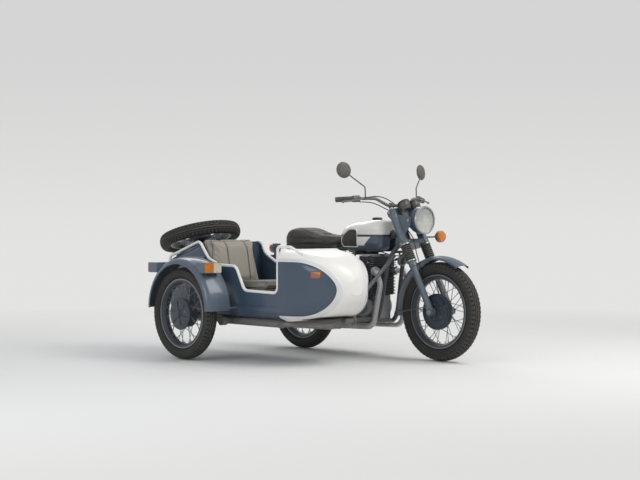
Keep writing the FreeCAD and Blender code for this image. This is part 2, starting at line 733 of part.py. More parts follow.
peg_x = pivot_x + 215
peg_z = cradle_z + frame_tube_r + 11
peg_r = 11.0
peg_long = 236.0
peg_rubber = 92.0
foot_controls = [cross_rod(peg_x, peg_z, peg_long, peg_r)]
peg_rubbers = []
for side in (1, -1):
    start = side * (peg_long - peg_rubber)
    sleeve = rod(V(peg_x, start, peg_z), V(peg_x, side * (peg_long + 3), peg_z), peg_r + 7)
    peg_rubbers.append(sleeve.cut(cross_rod(peg_x, peg_z, peg_long, peg_r)))
brake_pedal = tube([V(peg_x - 12, -112, peg_z + 18), V(peg_x + 60, -128, peg_z + 10),
                    V(peg_x + 150, -178, peg_z + 34)], [60], 7)
brake_pad = block(peg_x + 132, peg_x + 172, -206, -160, peg_z + 32, peg_z + 44)
brake_boss = rod(V(peg_x - 12, -88, peg_z + 18), V(peg_x - 12, -120, peg_z + 18), 14)
foot_controls += [brake_pedal, brake_pad, brake_boss]
gear_root = V(pivot_x + 262, case_half + 20, 322)
gear_lever = tube([gear_root + V(0, 16, 0), gear_root + V(70, 26, -16), gear_root + V(128, 62, -10)], [40], 6)
gear_shaft = rod(gear_root, gear_root + V(0, 24, 0), 11)
kick_root = V(pivot_x + 130, case_half + 20, 372)
kick_arm = tube([kick_root + V(0, 20, 0), kick_root + V(-16, 34, 100), kick_root + V(-14, 86, 152)], [30], 8)
kick_shaft = rod(kick_root, kick_root + V(0, 28, 0), 14)
foot_levers = [fused([gear_lever, gear_shaft]).cut(crankcase), fused([kick_arm, kick_shaft]).cut(crankcase)]
foot_controls = fused(foot_controls).cut(frame).cut(crankcase)

# ---------------------------------------------------------------- tank, seat and rear end

tank_rear = pivot_x + 134
tank_long = tank_front - tank_rear
# share of the length, half width, bottom and top above the seat rail, corner radius
tank_form = [
    (0.0, 56, 38, 86, 22),
    (0.036, 94, 18, 118, 42),
    (0.17, 134, -10, 160, 60),
    (0.485, 147, -20, 190, 70),
    (0.80, 144, -20, 204, 70),
    (0.945, 120, -10, 199, 60),
    (1.0, 84, 20, 176, 50),
]
tank_sections = [(tank_rear + share * tank_long, half, seat_rail_z + low, seat_rail_z + high, radius)
                 for share, half, low, high, radius in tank_form]


def rounded_section(x, y, half, low, high, radius):
    """A rounded rectangle across the machine."""
    corners = [V(x, y - half, low), V(x, y + half, low), V(x, y + half, high), V(x, y - half, high)]
    start = V(x, y, low)
    return route([start, corners[1], corners[2], corners[3], corners[0], start], [radius] * 4)


def lofted(sections, y, inset=0.0, ruled=False):
    """A body through rounded sections, or the same body inset on its sides, top and bottom."""
    wires = [rounded_section(x, y, half - inset, low + inset, high - inset, radius - min(inset, radius * 0.5))
             for x, half, low, high, radius in sections]
    return Part.makeLoft(wires, True, ruled)


tank_form_solid = lofted(tank_sections, 0)
tunnel_top = seat_rail_z + 106
tunnel = fused([block(tank_rear - 84, tank_front + 170, -bush_half, bush_half, seat_rail_z - 62, tunnel_top),
                rod(V(tank_rear - 84, 0, tunnel_top), V(tank_front + 170, 0, tunnel_top), bush_half)])
cap_x = tank_rear + 0.652 * tank_long
cap_z = seat_rail_z + 206
filler_neck = rod(V(cap_x, 0, cap_z - 28), V(cap_x, 0, cap_z), 27)
tank = tank_form_solid.cut(tunnel).fuse(filler_neck)
filler_cap = turned([(0, 0), (36, 0), (38, 4), (34, 16), (0, 20)], V(cap_x, 0, cap_z), V(0, 0, 1), V(1, 0, 0))

pad_proud = 5.0
pad_form = lofted([(x, half + pad_proud, low, high, radius + pad_proud)
                   for x, half, low, high, radius in tank_sections], 0).cut(tank_form_solid)
pad_rear = tank_rear + 66
pad_front = tank_rear + 228
pad_corners = [(pad_rear, 20), (pad_front, 20), (pad_front, 136), (pad_front - 74, 138), (pad_rear, 74)]
knee_pads = []
for side in (1, -1):
    outline = [V(x, side * 60, seat_rail_z + up) for x, up in pad_corners]
    cutter = plate(outline, [26, 8, 24, 50, 40], V(0, side * 140, 0))
    knee_pads.append(main_solid(pad_form.common(cutter)))

seat_z = seat_rail_z + rail_r + 2.5
seat_rear = loop_end_x - 2
# station x, half width, bottom and top above the seat rail, corner radius
seat_form = [
    (seat_rear, 112, 20, 104, 30),
    (seat_rear + 32, 130, seat_z - seat_rail_z, 127, 36),
    (120, 132, seat_z - seat_rail_z, 126, 36),
    (250, 126, seat_z - seat_rail_z, 96, 32),
    (tank_rear - 44, 116, 24, 80, 27),
    (tank_rear - 4, 62, 44, 74, 12),
]
dual_seat = lofted([(x, half, seat_rail_z + low, seat_rail_z + high, radius)
                    for x, half, low, high, radius in seat_form], 0)

rear_guard_r = rear_tyre_r + guard_clearance
tail_face = 42.0 - rear_guard_r
tail_bar_z = seat_rail_z - 46
rear_blade = swept_guard(rear_axle, 62, 146, rear_guard_r, 68.0, 40.0)
tail_bar = block(tail_face - 6, tail_face + 12, -34, 34, tail_bar_z, tail_bar_z + 70)
plate_stem = block(tail_face, tail_face + 8, -24, 24, tail_bar_z - 218, tail_bar_z + 4)
plate_hole_r = 3.25
plate_hole_spacing = 120.0
plate_hole_z = seat_rail_z - 90
number_board = block(tail_face - 8, tail_face, -75, 75, plate_hole_z - 72, plate_hole_z + 28)
tail_tubes = []
for side in (1, -1):
    start = V(tail_face - 14, side * plate_hole_spacing / 2, plate_hole_z)
    number_board = number_board.cut(rod(start, start + V(30, 0, 0), plate_hole_r))
    tail_tubes.append(tube([V(loop_end_x + 4, side * 40, seat_rail_z), V(-200, side * 40, seat_rail_z),
                            V(tail_face + 8, side * 22, seat_rail_z - 10)], [60], 7))
    tail_tubes.append(tube([V(loop_end_x, side * 50, seat_rail_z - 10), V(-100, side * 50, seat_rail_z - 72),
                            V(-150, side * 50, seat_rail_z - 122)], [30], 6))
rear_guard = fused([rear_blade, tail_bar, plate_stem, number_board] + tail_tubes).cut(frame)
tail_lamp = turned([(0, 0), (36, 0), (38, 6), (36, 34), (28, 46), (0, 50)],
                   V(tail_face - 6 - touch_gap, 0, tail_bar_z + 35), V(-1, 0, 0))

arm_y = 82.0
arm_r = 14.0
shock_foot = rear_axle + V(-22, 0, 26)
arm_pieces = []
for side in (1, -1):
    arm_pieces += [
        tube([V(pivot_x, side * lug_in, pivot_z), V(pivot_x - 110, side * arm_y, pivot_z),
              V(-34, side * arm_y, rear_tyre_r)], [150], arm_r),
        rod(V(pivot_x, side * 40, pivot_z), V(pivot_x, side * 70, pivot_z), 26),
        rod(rear_axle + V(0, side * 70, 0), rear_axle + V(0, side * 98, 0), 27),
        rod(shock_foot + V(0, side * arm_y, 0), shock_foot + V(0, side * 146, 0), 8),
    ]
swing_arm = fused(arm_pieces).cut(drill(rear_axle, axle_r)).cut(frame)
rear_spindle = rod(rear_axle - V(0, 112, 0), rear_axle + V(0, 112, 0), axle_r)

shock_coils = 9
spring_r = 32.0
eye_half = V(0, 14, 0)


def shock(side):
    """A spring unit between the swing arm and the seat rail."""
    foot = shock_foot + V(0, side * shock_top.y, 0)
    head = V(shock_top.x, side * shock_top.y, shock_top.z)
    axis = (head - foot).normalize()
    long = (head - foot).Length
    pairs = [(0, 24), (16, 24), (16, 60), (spring_r, 60)]
    pitch = (long - 60 - 130) / shock_coils
    for coil in range(shock_coils):
        z = 60 + coil * pitch
        pairs += [(spring_r, z + pitch * 0.25), (spring_r - 8, z + pitch * 0.62), (spring_r, z + pitch)]
    pairs += [(spring_r + 4, long - 130), (spring_r + 4, long - 40), (18, long - 24), (0, long - 24)]
    body = turned(pairs, foot, axis, V(1, 0, 0) - axis * axis.x)
    eyes = [rod(end - eye_half, end + eye_half, 22) for end in (foot, head)]
    return fused([body, rod(foot, foot + axis * 30, 12), rod(head - axis * 30, head, 12)] + eyes)


shocks = [shock(side).cut(frame).cut(swing_arm) for side in (1, -1)]
side_covers = []
cover_y = cradle_spread + frame_tube_r + touch_gap
cover_outline = [(60, -62), (60, -162), (200, -202), (300, -122), (310, -22), (90, -20)]
for side in (1, -1):
    corners = [V(x, side * cover_y, seat_rail_z + up) for x, up in cover_outline]
    side_covers.append(plate(corners, [30, 30, 40, 40, 12, 12], V(0, side * 34, 0)).cut(frame))

# The case around the final drive, on the left
case_in = tyre_width / 2 + moving_gap + 1.5
case_out = arm_y - arm_r - touch_gap
case_rear_r = 92.0
case_front_r = 66.0
case_front_at = V(pivot_x + 60, case_in, pivot_z + 10)
case_depth = V(0, case_out - case_in, 0)
case_rear_at = V(0, case_in, rear_tyre_r)
tilt = math.asin((case_rear_r - case_front_r) / (case_front_at - case_rear_at).Length)
turn_up = math.atan2(case_front_at.z - case_rear_at.z, case_front_at.x)
case_walls = []
for sign in (1, -1):
    spoke = bearing(math.degrees(turn_up + sign * (math.pi / 2 - tilt)))
    case_walls.append((case_rear_at + spoke * case_rear_r, case_front_at + spoke * case_front_r))
web = Part.Face(Part.makePolygon([case_walls[0][0], case_walls[0][1], case_walls[1][1], case_walls[1][0],
                                  case_walls[0][0]])).extrude(case_depth)
chain_case = fused([web, rod(case_rear_at, case_rear_at + case_depth, case_rear_r),
                    rod(case_front_at, case_front_at + case_depth, case_front_r)])
chain_case = main_solid(chain_case.cut(drill(rear_axle, 36)).cut(crankcase).cut(swing_arm).cut(frame))

horn_facing = V(1, 0, -0.3).normalize()
horn = fused([turned([(0, 0), (36, 0), (42, 8), (42, 22), (30, 30), (12, 44), (0, 44)],
                     horn_at, horn_facing, V(0.3, 0, 1).normalize()),
              rod(horn_at, horn_at + V(-20, 0, 48), 6)]).cut(frame)

# ---------------------------------------------------------------- sidecar body

deck_rise = (deck_high - deck_low) / (bulkhead_x - tail_x)
# station x, half width, bottom z, top z, corner radius
rear_stations = [
    (tail_x - 95, 190, 420, deck_low - 60, 80),
    (tail_x, tail_half, 330, deck_low, 62),
    (bulkhead_x, body_half, floor_z, deck_high, 58),
    (cowl_x, body_half, floor_z, 762, 78),
]
nose_stations = [
    (cowl_x, body_half, floor_z, 762, 78),
    (cowl_x + 140, body_half - 10, 306, 752, 92),
    (cowl_x + 260, body_half - 43, 328, 730, 110),
    (cowl_x + 360, body_half - 100, 358, 692, 115),
    (cowl_x + 425, body_half - 172, 414, 636, 90),
    (cowl_x + 455, body_half - 238, 474, 580, 44),
]
tip_inset = 5.0               # the nose's wall is this much thicker at its tip
nose_long = nose_stations[-1][0] - cowl_x
nose_end = cowl_x + nose_long + 175


def body_shape(inset):
    """The whole body's outer form, or the same form inset for its inside."""
    first, *others = rear_stations
    rear = [(first[0] + inset,) + first[1:]] + others
    nose = [(x - inset * tip_inset * (x - cowl_x) / nose_long,) + tuple(rest) for x, *rest in nose_stations]
    return fused([lofted(rear, body_y, inset, True), lofted(nose, body_y, inset)])


outer_form = body_shape(0)
inner_form = body_shape(body_wall)
shell = outer_form.cut(inner_form)

near_y = body_y - body_half
far_y = body_y + body_half
open_x = cowl_x - 6
# the cockpit's edge, from the trunk's lower corner to the grab rail: x, z, corner radius
trunk_edge = [(tail_x - 7, 660, 0), (tail_x - 1, deck_low + 6, 30), (bulkhead_x - 4, deck_high + 6, 46)]
near_sill = [(128, 700, 60), (240, 656, 90), (430, 650, 60), (520, 486, 60), (open_x, 480, 40)]
grab_rail = [(open_x, 790, 22), (cowl_x + 115, 788, 60), (cowl_x + 215, 742, 0)]
far_sill = [(74, 726, 90), (214, 656, 120)]


def edge_y(x, side):
    """How far out the body's side is at x."""
    half = body_half
    if x < bulkhead_x:
        half += (x - bulkhead_x) * (body_half - tail_half) / (bulkhead_x - tail_x)
    if x > cowl_x + 60:
        half -= (x - cowl_x - 60) * 0.13
    return body_y - side * (half - bead_r * 0.6)


def bead(points, side):
    """A round bead along the body's edge."""
    line = [V(x, edge_y(x, side), z) for x, z, _ in points]
    return tube(line, [radius for _, _, radius in points[1:-1]], bead_r)


near_bead = bead(trunk_edge + near_sill + grab_rail, 1)
far_bead = bead(trunk_edge[:2] + [(bulkhead_x - 4, deck_high + 6, 40)] + far_sill
                + [(800, 656, 90), (open_x, 750, 0)], -1)
cross_bead = tube([V(open_x, near_y + 20, 700), V(open_x, near_y + 34, 762), V(open_x, far_y - 34, 762),
                   V(open_x, far_y - 6, 745)], [40, 40], bead_r)
cockpit_bead = fused([near_bead, far_bead, cross_bead])


def opening(points, side):
    """The space above one side's sill."""
    above = [(bulkhead_x - 4, deck_high + 6, 5)] + points + [(open_x, 900, 5), (bulkhead_x - 4, 900, 5)]
    return plate([V(x, body_y, z) for x, z, _ in above], [radius for _, _, radius in above],
                 V(0, -side * 400, 0))


near_open = opening(near_sill, 1)
far_open = opening(far_sill + [(800, 656, 90), (open_x, 750, 5)], -1)
back_near = body_y - 250      # the backrest's sides: it is nearer to the outer side
back_far = body_y + 142
seat_gap = block(bulkhead_x - 4, 90, back_near - 4, body_y + 240, 780, 900)
shell = shell.cut(near_open).cut(far_open).cut(seat_gap)

# the side panel's outline: a bullet-nosed panel from the cockpit's front to near the tip
panel_x = cowl_x + 150
panel_z = 511.0
panel_long = 264.0
panel_high = 179.0
band_width = 20.0
band_height = 5.0


def across_body(x0, x1, z0, z1):
    """A block right across the body and beyond."""
    return block(x0, x1, body_y - 400, body_y + 400, z0, z1)


def panel_prism(grow):
    """The side panel's outline pushed right across the body."""
    ellipse = Part.Ellipse(V(0, 0, 0), panel_long + grow, panel_high + grow)
    half = ellipse.toShape(-math.pi / 2, math.pi / 2)
    half.rotate(V(0, 0, 0), V(1, 0, 0), 90)
    half.translate(V(panel_x, 0, panel_z))
    upper = V(panel_x, 0, panel_z + panel_high + grow)
    lower = V(panel_x, 0, panel_z - panel_high - grow)
    back = cowl_x - 10
    loop = [half, Part.makeLine(upper, V(back, 0, upper.z)),
            Part.makeLine(V(back, 0, upper.z), V(back, 0, lower.z)),
            Part.makeLine(V(back, 0, lower.z), lower)]
    face = Part.Face(Part.Wire(Part.__sortEdges__(loop)))
    face.translate(V(0, body_y - 400, 0))
    return face.extrude(V(0, 800, 0))


def proud_nose(height):
    """The nose's form, standing out of the body by a height on its sides, top and bottom."""
    return lofted([(x + height * 0.5, half + height, low - height, high + height, radius + height)
                   for x, half, low, high, radius in nose_stations], body_y)


panel = panel_prism(0)
cowl_zone = across_body(cowl_x, nose_end, 200, 900).cut(panel)
cowl = shell.common(cowl_zone).cut(cockpit_bead)
tub = main_solid(shell.cut(cowl_zone).cut(across_body(tail_x - 200, bulkhead_x, 0, 900)).cut(cockpit_bead))
tail = main_solid(shell.common(across_body(tail_x - 200, bulkhead_x, 0, 900)).cut(cockpit_bead))
bulkhead = inner_form.common(across_body(bulkhead_x - body_wall - 4, bulkhead_x - 4, 0, deck_high + 8))
band_zone = panel_prism(band_width).cut(panel).common(across_body(cowl_x + 4, nose_end, 200, 900))
bands = proud_nose(band_height).cut(outer_form).common(band_zone).cut(cockpit_bead)
marker_x = cowl_x + 280
marker = block(marker_x, marker_x + 55, near_y - 20, body_y, 590, 629)
marker = marker.common(proud_nose(9)).cut(outer_form)

# ---------------------------------------------------------------- sidecar cushions and trunk

cushion_z = 400.0
cushion_rear = 60.0
cushion_front = 700.0
cushion_half = body_half - 54
cushion_rise = (540.0 - 524.0) / (cushion_front - cushion_rear)
base_inset = 26.0             # the seat's base inside the cushion's edge


def under_cushion(inset, top):
    """A block on the floor under the cushion, inside its edge."""
    half = cushion_half - inset
    return block(cushion_rear + inset, cushion_front - inset, body_y - half, body_y + half,
                 floor_z + body_wall, top)


seat_base = under_cushion(base_inset, cushion_z - touch_gap)
seat_base = seat_base.cut(under_cushion(base_inset + body_wall, cushion_z - body_wall))
seat_cushion = lofted([(cushion_rear, cushion_half, cushion_z, 524, 40),
                       (cushion_front, cushion_half, cushion_z, 540, 44)], body_y, 0, True)


def cushion_top(x):
    return 524 + (x - cushion_rear) * cushion_rise


# The backrest leans on the bulkhead
back_top_front = V(122, 0, 842)
back_top_rear = V(bulkhead_x - 4 + touch_gap, 0, 826)
lean = 0.197


def seat_back_pad():
    """A leaned pad with rounded upper corners."""
    rear_x = back_top_rear.x + (back_top_rear.z - 526) * lean
    front_x = back_top_front.x + (back_top_front.z - 526) * lean
    side = [V(rear_x, back_near, cushion_top(rear_x) + touch_gap),
            V(front_x, back_near, cushion_top(front_x) + touch_gap),
            V(back_top_front.x, back_near, back_top_front.z), V(back_top_rear.x, back_near, back_top_rear.z)]
    leaned = plate(side, [16, 20, 32, 20], V(0, back_far - back_near, 0))
    face = [V(0, back_near, 500), V(0, back_far, 500), V(0, back_far, 850), V(0, back_near, 850)]
    return leaned.common(plate(face, [4, 4, 56, 30], V(300, 0, 0)))


seat_back = seat_back_pad()

lid_front = -6.0
lid_rear = -325.0
lid_half = 225.0


def deck_z(x):
    return deck_high + (x - bulkhead_x) * deck_rise


def deck_plate(x0, x1, half, low, high):
    """A plate that follows the sloping rear deck, between two heights above it."""
    return plate([V(x0, body_y - half, deck_z(x0) + low), V(x1, body_y - half, deck_z(x1) + low),
                  V(x1, body_y - half, deck_z(x1) + high), V(x0, body_y - half, deck_z(x0) + high)],
                 [1, 1, 1, 1], V(0, 2 * half, 0))


mouth = deck_plate(lid_rear + 20, lid_front - 20, lid_half - 20, -40, 30)
tail = tail.cut(mouth)
lid = deck_plate(lid_rear, lid_front, lid_half, touch_gap, 9)
hinge_at = V(lid_front + 16, body_y, deck_z(lid_front) + 15)
hinge_r = 8.0
hinge_pin_r = 4.0
hinge_half = 15.0
hinge_spread = 150.0
lug_width = 10.0


def hinge(y):
    """A hinge of the trunk lid: the barrel with its strap, and the two lugs with their pin."""
    centre = V(hinge_at.x, y, hinge_at.z)
    across = V(0, 1, 0)
    strap_end = lid_front - 30
    strap = plate([V(strap_end, y - hinge_half, deck_z(strap_end) + 6),
                   V(centre.x, y - hinge_half, centre.z - hinge_pin_r),
                   V(centre.x, y - hinge_half, centre.z + hinge_pin_r),
                   V(strap_end, y - hinge_half, deck_z(strap_end) + 13)],
                  [1, 1, 1, 1], across * 2 * hinge_half)
    barrel = fused([strap, rod(centre - across * hinge_half, centre + across * hinge_half, hinge_r)])
    reach = across * (hinge_half + 5)
    barrel = barrel.cut(rod(centre - reach, centre + reach, hinge_pin_r + running_gap))
    inside = hinge_half + moving_gap
    outside = inside + lug_width
    lugs = [rod(centre - across * outside, centre + across * outside, hinge_pin_r)]
    for low, high in ((y - outside, y - inside), (y + inside, y + outside)):
        lugs.append(rod(V(centre.x, low, centre.z), V(centre.x, high, centre.z), hinge_r))
        lugs.append(block(centre.x - hinge_r, centre.x + hinge_r, low, high, deck_z(centre.x) - 6, centre.z))
    return barrel, fused(lugs)


hinges = [hinge(body_y - hinge_spread), hinge(body_y + hinge_spread)]
tail = fused([tail] + [lugs for barrel, lugs in hinges])
lid = fused([lid] + [barrel for barrel, lugs in hinges])

spare_tilt = math.degrees(math.atan(deck_rise))
spare_centre = V(-330, body_y, 845)
deck_up = bearing(90 + spare_tilt)
spare_hub = [(hub_in, -46), (34, -46), (80, -28), (80, 28), (34, 46), (hub_in, 46)]
spare_tyre = tyre(V(0, 0, 0), spare_tyre_r, spare_bead_r)
spare_rim = wire_wheel(V(0, 0, 0), spare_bead_r, spare_hub, [(80, 22), (80, -22)])
for piece in (spare_tyre, spare_rim):
    piece.rotate(V(0, 0, 0), V(1, 0, 0), 90)
    piece.rotate(V(0, 0, 0), V(0, 1, 0), -spare_tilt)
    piece.translate(spare_centre)
deck_drop = (spare_centre.z - deck_z(spare_centre.x)) * math.cos(math.radians(spare_tilt))
post_foot = spare_centre - deck_up * (deck_drop - 5)
spare_post = fused([rod(post_foot, spare_centre + deck_up * 70, axle_r),
                    rod(post_foot, spare_centre - deck_up * 46, 40),
                    rod(spare_centre + deck_up * 46, spare_centre + deck_up * 62, 26)])

# ---------------------------------------------------------------- sidecar mudguard and lamps

arch = V(wheel_lead + 15, 0, rear_tyre_r + 31)
arch_r = rear_tyre_r + 43
arch_drop = 48.0
arch_out = -track - 88
arch_in = -track + 96
arch_crown = -track + 54
arch_turn = arch_out + 44


def arch_blade():
    """The open-sided blade over the sidecar wheel, with its turned-down outer lip."""
    inner_edge = V(arch.x + arch_r - 4, arch_in, arch.z)
    crown = V(arch.x + arch_r, arch_crown, arch.z)
    turn = V(arch.x + arch_r - 8, arch_turn, arch.z)
    lip = V(arch.x + arch_r - arch_drop, arch_out, arch.z)
    deep = V(sheet, 0, 0)
    lip_in = lip + V(-1, sheet, 0)
    bulge = V(9, -7, 0)
    outline = closed([
        Part.Arc(inner_edge, crown, turn),
        Part.Arc(turn, (turn + lip) * 0.5 + bulge, lip),
        Part.LineSegment(lip, lip_in),
        Part.Arc(lip_in, (turn - deep + lip_in) * 0.5 + bulge, turn - deep),
        Part.Arc(turn - deep, crown - deep, inner_edge - deep),
        Part.LineSegment(inner_edge - deep, inner_edge),
    ])
    return Part.Face(outline).revolve(V(arch.x, 0, arch.z), V(0, -1, 0), 180)


under_arch = turned([(0, arch_out - 20), (arch_r - arch_drop, arch_out - 20), (arch_r - arch_drop, arch_out),
                     (arch_r - 8, arch_turn), (arch_r, arch_crown), (arch_r - 4, arch_in), (0, arch_in)],
                    arch)
side_guard = arch_blade()
bracket_r = 8.0
for degrees in (3, 92, 150):
    foot = arch + bearing(degrees) * (arch_r - sheet - 5)
    wall_y = edge_y(foot.x, 1) - bead_r * 0.6
    side_guard = side_guard.fuse(rod(V(foot.x, wall_y + 4, foot.z), V(foot.x, arch_crown, foot.z), bracket_r))
side_guard = main_solid(side_guard.cut(tub).cut(tail))

lamp_half = 65.0
lamp_high = 70.0
front_lamp = arch + bearing(52.7) * (arch_r - 40)
rear_lamp = arch + bearing(135.8) * (arch_r - 6)
lens_inset = 2.0
front_lens_x = front_lamp.x + 92
rear_lens_x = rear_lamp.x - 92


def lamp_block(x0, x1, z, low_y, high_y, inset):
    return block(x0, x1, -track + low_y, -track + high_y, z + inset, z + lamp_high - inset)


front_box = lamp_block(front_lamp.x, front_lens_x, front_lamp.z, -lamp_half, lamp_half, 0)
front_box = main_solid(front_box.cut(under_arch).cut(side_guard))
amber_front = lamp_block(front_lens_x, front_lens_x + 20, front_lamp.z, -lamp_half, -4, lens_inset)
white_front = lamp_block(front_lens_x, front_lens_x + 20, front_lamp.z, -4 + touch_gap, lamp_half, lens_inset)
rear_box = lamp_block(rear_lens_x, rear_lamp.x, rear_lamp.z, -lamp_half, lamp_half, 0)
rear_box = main_solid(rear_box.cut(under_arch).cut(side_guard))
red_rear = lamp_block(rear_lens_x - 9, rear_lens_x, rear_lamp.z, -lamp_half, lamp_half, lens_inset)

# ---------------------------------------------------------------- sidecar chassis

inner_y = far_y - 35
outer_y = near_y + 60
arm_pivot_x = wheel_lead + 240
side_tube_r = 19.0
front_joint_x = cowl_x + 85
rear_joint_x = pivot_x - 5
joint_y = inner_y + 75
cross_x = -150.0
chassis_tubes = [
    rod(V(215, outer_y, chassis_z), V(cowl_x - 4, outer_y, chassis_z), chassis_tube_r),
    tube([V(cowl_x - 20, outer_y, chassis_z), V(cowl_x + 45, outer_y, chassis_z),
          V(cowl_x + 45, inner_y - 6, chassis_z)], [45], 18),
    rod(V(front_joint_x + 15, inner_y, chassis_z), V(cross_x - 18, inner_y, chassis_z), side_tube_r),
    rod(V(cross_x, inner_y, chassis_z), V(cross_x, outer_y, chassis_z), side_tube_r),
    rod(V(arm_pivot_x, inner_y, chassis_z), V(arm_pivot_x, outer_y - 80, chassis_z), 22),
    rod(V(cross_x - 18, outer_y, chassis_z), V(230, outer_y, chassis_z), side_tube_r),
    rod(V(215, outer_y - 30, chassis_z), V(215, outer_y + 22, chassis_z), 24),
    rod(V(front_joint_x, inner_y, chassis_z), V(front_joint_x, joint_y, chassis_z), 18),
    rod(V(rear_joint_x, inner_y, chassis_z), V(rear_joint_x, joint_y, chassis_z), 18),
]
sidecar_chassis = fused(chassis_tubes)
trail_y = 116 - track         # the wheel arm, inside the wheel
trailing = tube([V(arm_pivot_x, outer_y - 88, chassis_z), V(side_axle.x + 60, trail_y, rear_tyre_r),
                 V(side_axle.x - 20, trail_y, rear_tyre_r)], [120], 18)
wheel_arm = fused([trailing,
                   rod(V(arm_pivot_x, outer_y - 110, chassis_z), V(arm_pivot_x, outer_y - 66, chassis_z), 30),
                   rod(side_axle + V(0, 54, 0), side_axle + V(0, 100, 0), 30),
                   rod(side_axle + V(0, -34, 0), side_axle + V(0, 112, 0), axle_r)]).cut(sidecar_chassis)

strut_r = 13.0
low_strut_r = 16.0
strut_foot_y = joint_y - 14
strut_foot_z = chassis_z + 8
cradle_out = -cradle_spread - 4
low_struts = [(engine_front - 30, 262), (270, 262)]
struts = [
    tube([from_front(390, -56, 378), from_front(408, inner_y + 155, 130),
          V(front_joint_x + 3, strut_foot_y, strut_foot_z)], [80], strut_r),
    tube([V(pivot_x - 38, cradle_out, 520), V(pivot_x - 20, inner_y + 185, 420),
          V(rear_joint_x, strut_foot_y, strut_foot_z)], [80], strut_r),
] + [rod(V(x, cradle_out, z), V(x, inner_y + 12, chassis_z + 2), low_strut_r) for x, z in low_struts]
struts = [strut.cut(frame).cut(crankcase).cut(sidecar_chassis) for strut in struts]

# ---------------------------------------------------------------- centre stand

stand_pivot = V(stand_x, 0, stand_z)
stand_leg = 186.0
stand_parts = [rod(stand_pivot - V(0, 90, 0), stand_pivot + V(0, 90, 0), stand_pin_r),
               rod(stand_pivot + V(-120, -84, 0), stand_pivot + V(-120, 84, 0), 8)]
for side in (1, -1):
    foot = stand_pivot + V(-stand_leg, 0, 0)
    stand_parts.append(rod(stand_pivot + V(0, side * 82, 0), foot + V(0, side * 86, 0), 10))
    stand_parts.append(rod(foot + V(0, side * 76, 0), foot + V(0, side * 100, 0), 13))
stand = fused(stand_parts)

# ---------------------------------------------------------------- names and output

bodies = {
    "chassis": {
        "frame": frame, "crankcase": crankcase, "cylinders": cylinders, "carburettors": carburettors,
        "exhausts": Part.makeCompound(exhausts),
        "foot_controls": Part.makeCompound([foot_controls] + foot_levers),
        "rubber_pads": Part.makeCompound(knee_pads + peg_rubbers), "chain_case": chain_case,
        "fuel_tank": tank, "filler_cap": filler_cap,
        "dual_seat": dual_seat, "rear_mudguard": rear_guard,
        "red_lenses": Part.makeCompound([tail_lamp, red_rear]), "swing_arm": fused([swing_arm, rear_spindle]),
        "rear_shocks": Part.makeCompound(shocks), "side_covers": Part.makeCompound(side_covers), "horn": horn,
        "body_tub": tub, "body_tail": tail, "bulkhead": Part.makeCompound([bulkhead, seat_base]),
        "body_cowl": cowl,
        "side_bands": bands, "cockpit_bead": cockpit_bead,
        "amber_lenses": Part.makeCompound([amber_front, marker]), "white_lens": white_front,
        "seat_cushion": seat_cushion, "seat_back": seat_back, "sidecar_mudguard": side_guard,
        "side_lamps": Part.makeCompound([front_box, rear_box]), "sidecar_chassis": sidecar_chassis,
        "wheel_arm": wheel_arm, "sidecar_struts": Part.makeCompound(struts),
    },
    "steering": {
        "upper_yoke": upper_yoke, "lower_yoke": lower_yoke, "fork_legs": fused(legs + [front_spindle]),
        "fork_gaiters": Part.makeCompound([gaiter(1), gaiter(-1)]), "lamp_ears": Part.makeCompound(ears),
        "headlamp_shell": headlamp_shell, "headlamp_lens": headlamp_lens, "instruments": instruments,
        "handlebar": handlebar, "grips": Part.makeCompound(grips),
        "bar_controls": Part.makeCompound(controls),
        "mirrors": Part.makeCompound(mirrors), "front_mudguard": front_guard, "turn_signal": signal_housing,
        "turn_signal_lens": signal_lens, "brake_plate": Part.makeCompound([brake_plate, speed_drive]),
        "control_cables": Part.makeCompound(cables),
    },
    "front_wheel": {"front_tyre": front_tyre, "front_rim": front_wheel},
    "rear_wheel": {"rear_tyre": rear_tyre, "rear_rim": rear_wheel},
    "sidecar_wheel": {"sidecar_tyre": side_tyre, "sidecar_rim": side_wheel, "hub_cover": hub_cover},
    "trunk_lid": {"trunk_lid": fused([lid, spare_post]), "spare_tyre": spare_tyre, "spare_rim": spare_rim},
    "centre_stand": {"centre_stand": stand},
}

rear_reach = spare_centre.x - spare_tyre_r * math.cos(math.radians(spare_tilt))
front_reach = wheelbase + front_tyre_r
left_reach = bar_half + grip_r * 0.7
to_origin = V(-(rear_reach + front_reach) / 2, -(arch_out + left_reach) / 2, 0)
for pieces in bodies.values():
    for name, shape in pieces.items():
        placed = shape.copy()
        placed.translate(to_origin)
        placed.exportStep("parts/%s.step" % name)
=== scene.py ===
# %% [markdown]
# # A sidecar motorcycle, dressed for show
# The solid model is already exact: every tube, wheel and panel is where it belongs. This lesson
# adds what a solid model lacks: paint, rubber, stitched vinyl, tread and the small fittings that
# make a machine look used. The packed model comes first, and nothing in it is moved.

# %% Load the packed model
import bpy
import bmesh
import math
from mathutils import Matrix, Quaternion, Vector
from mathutils.bvhtree import BVHTree


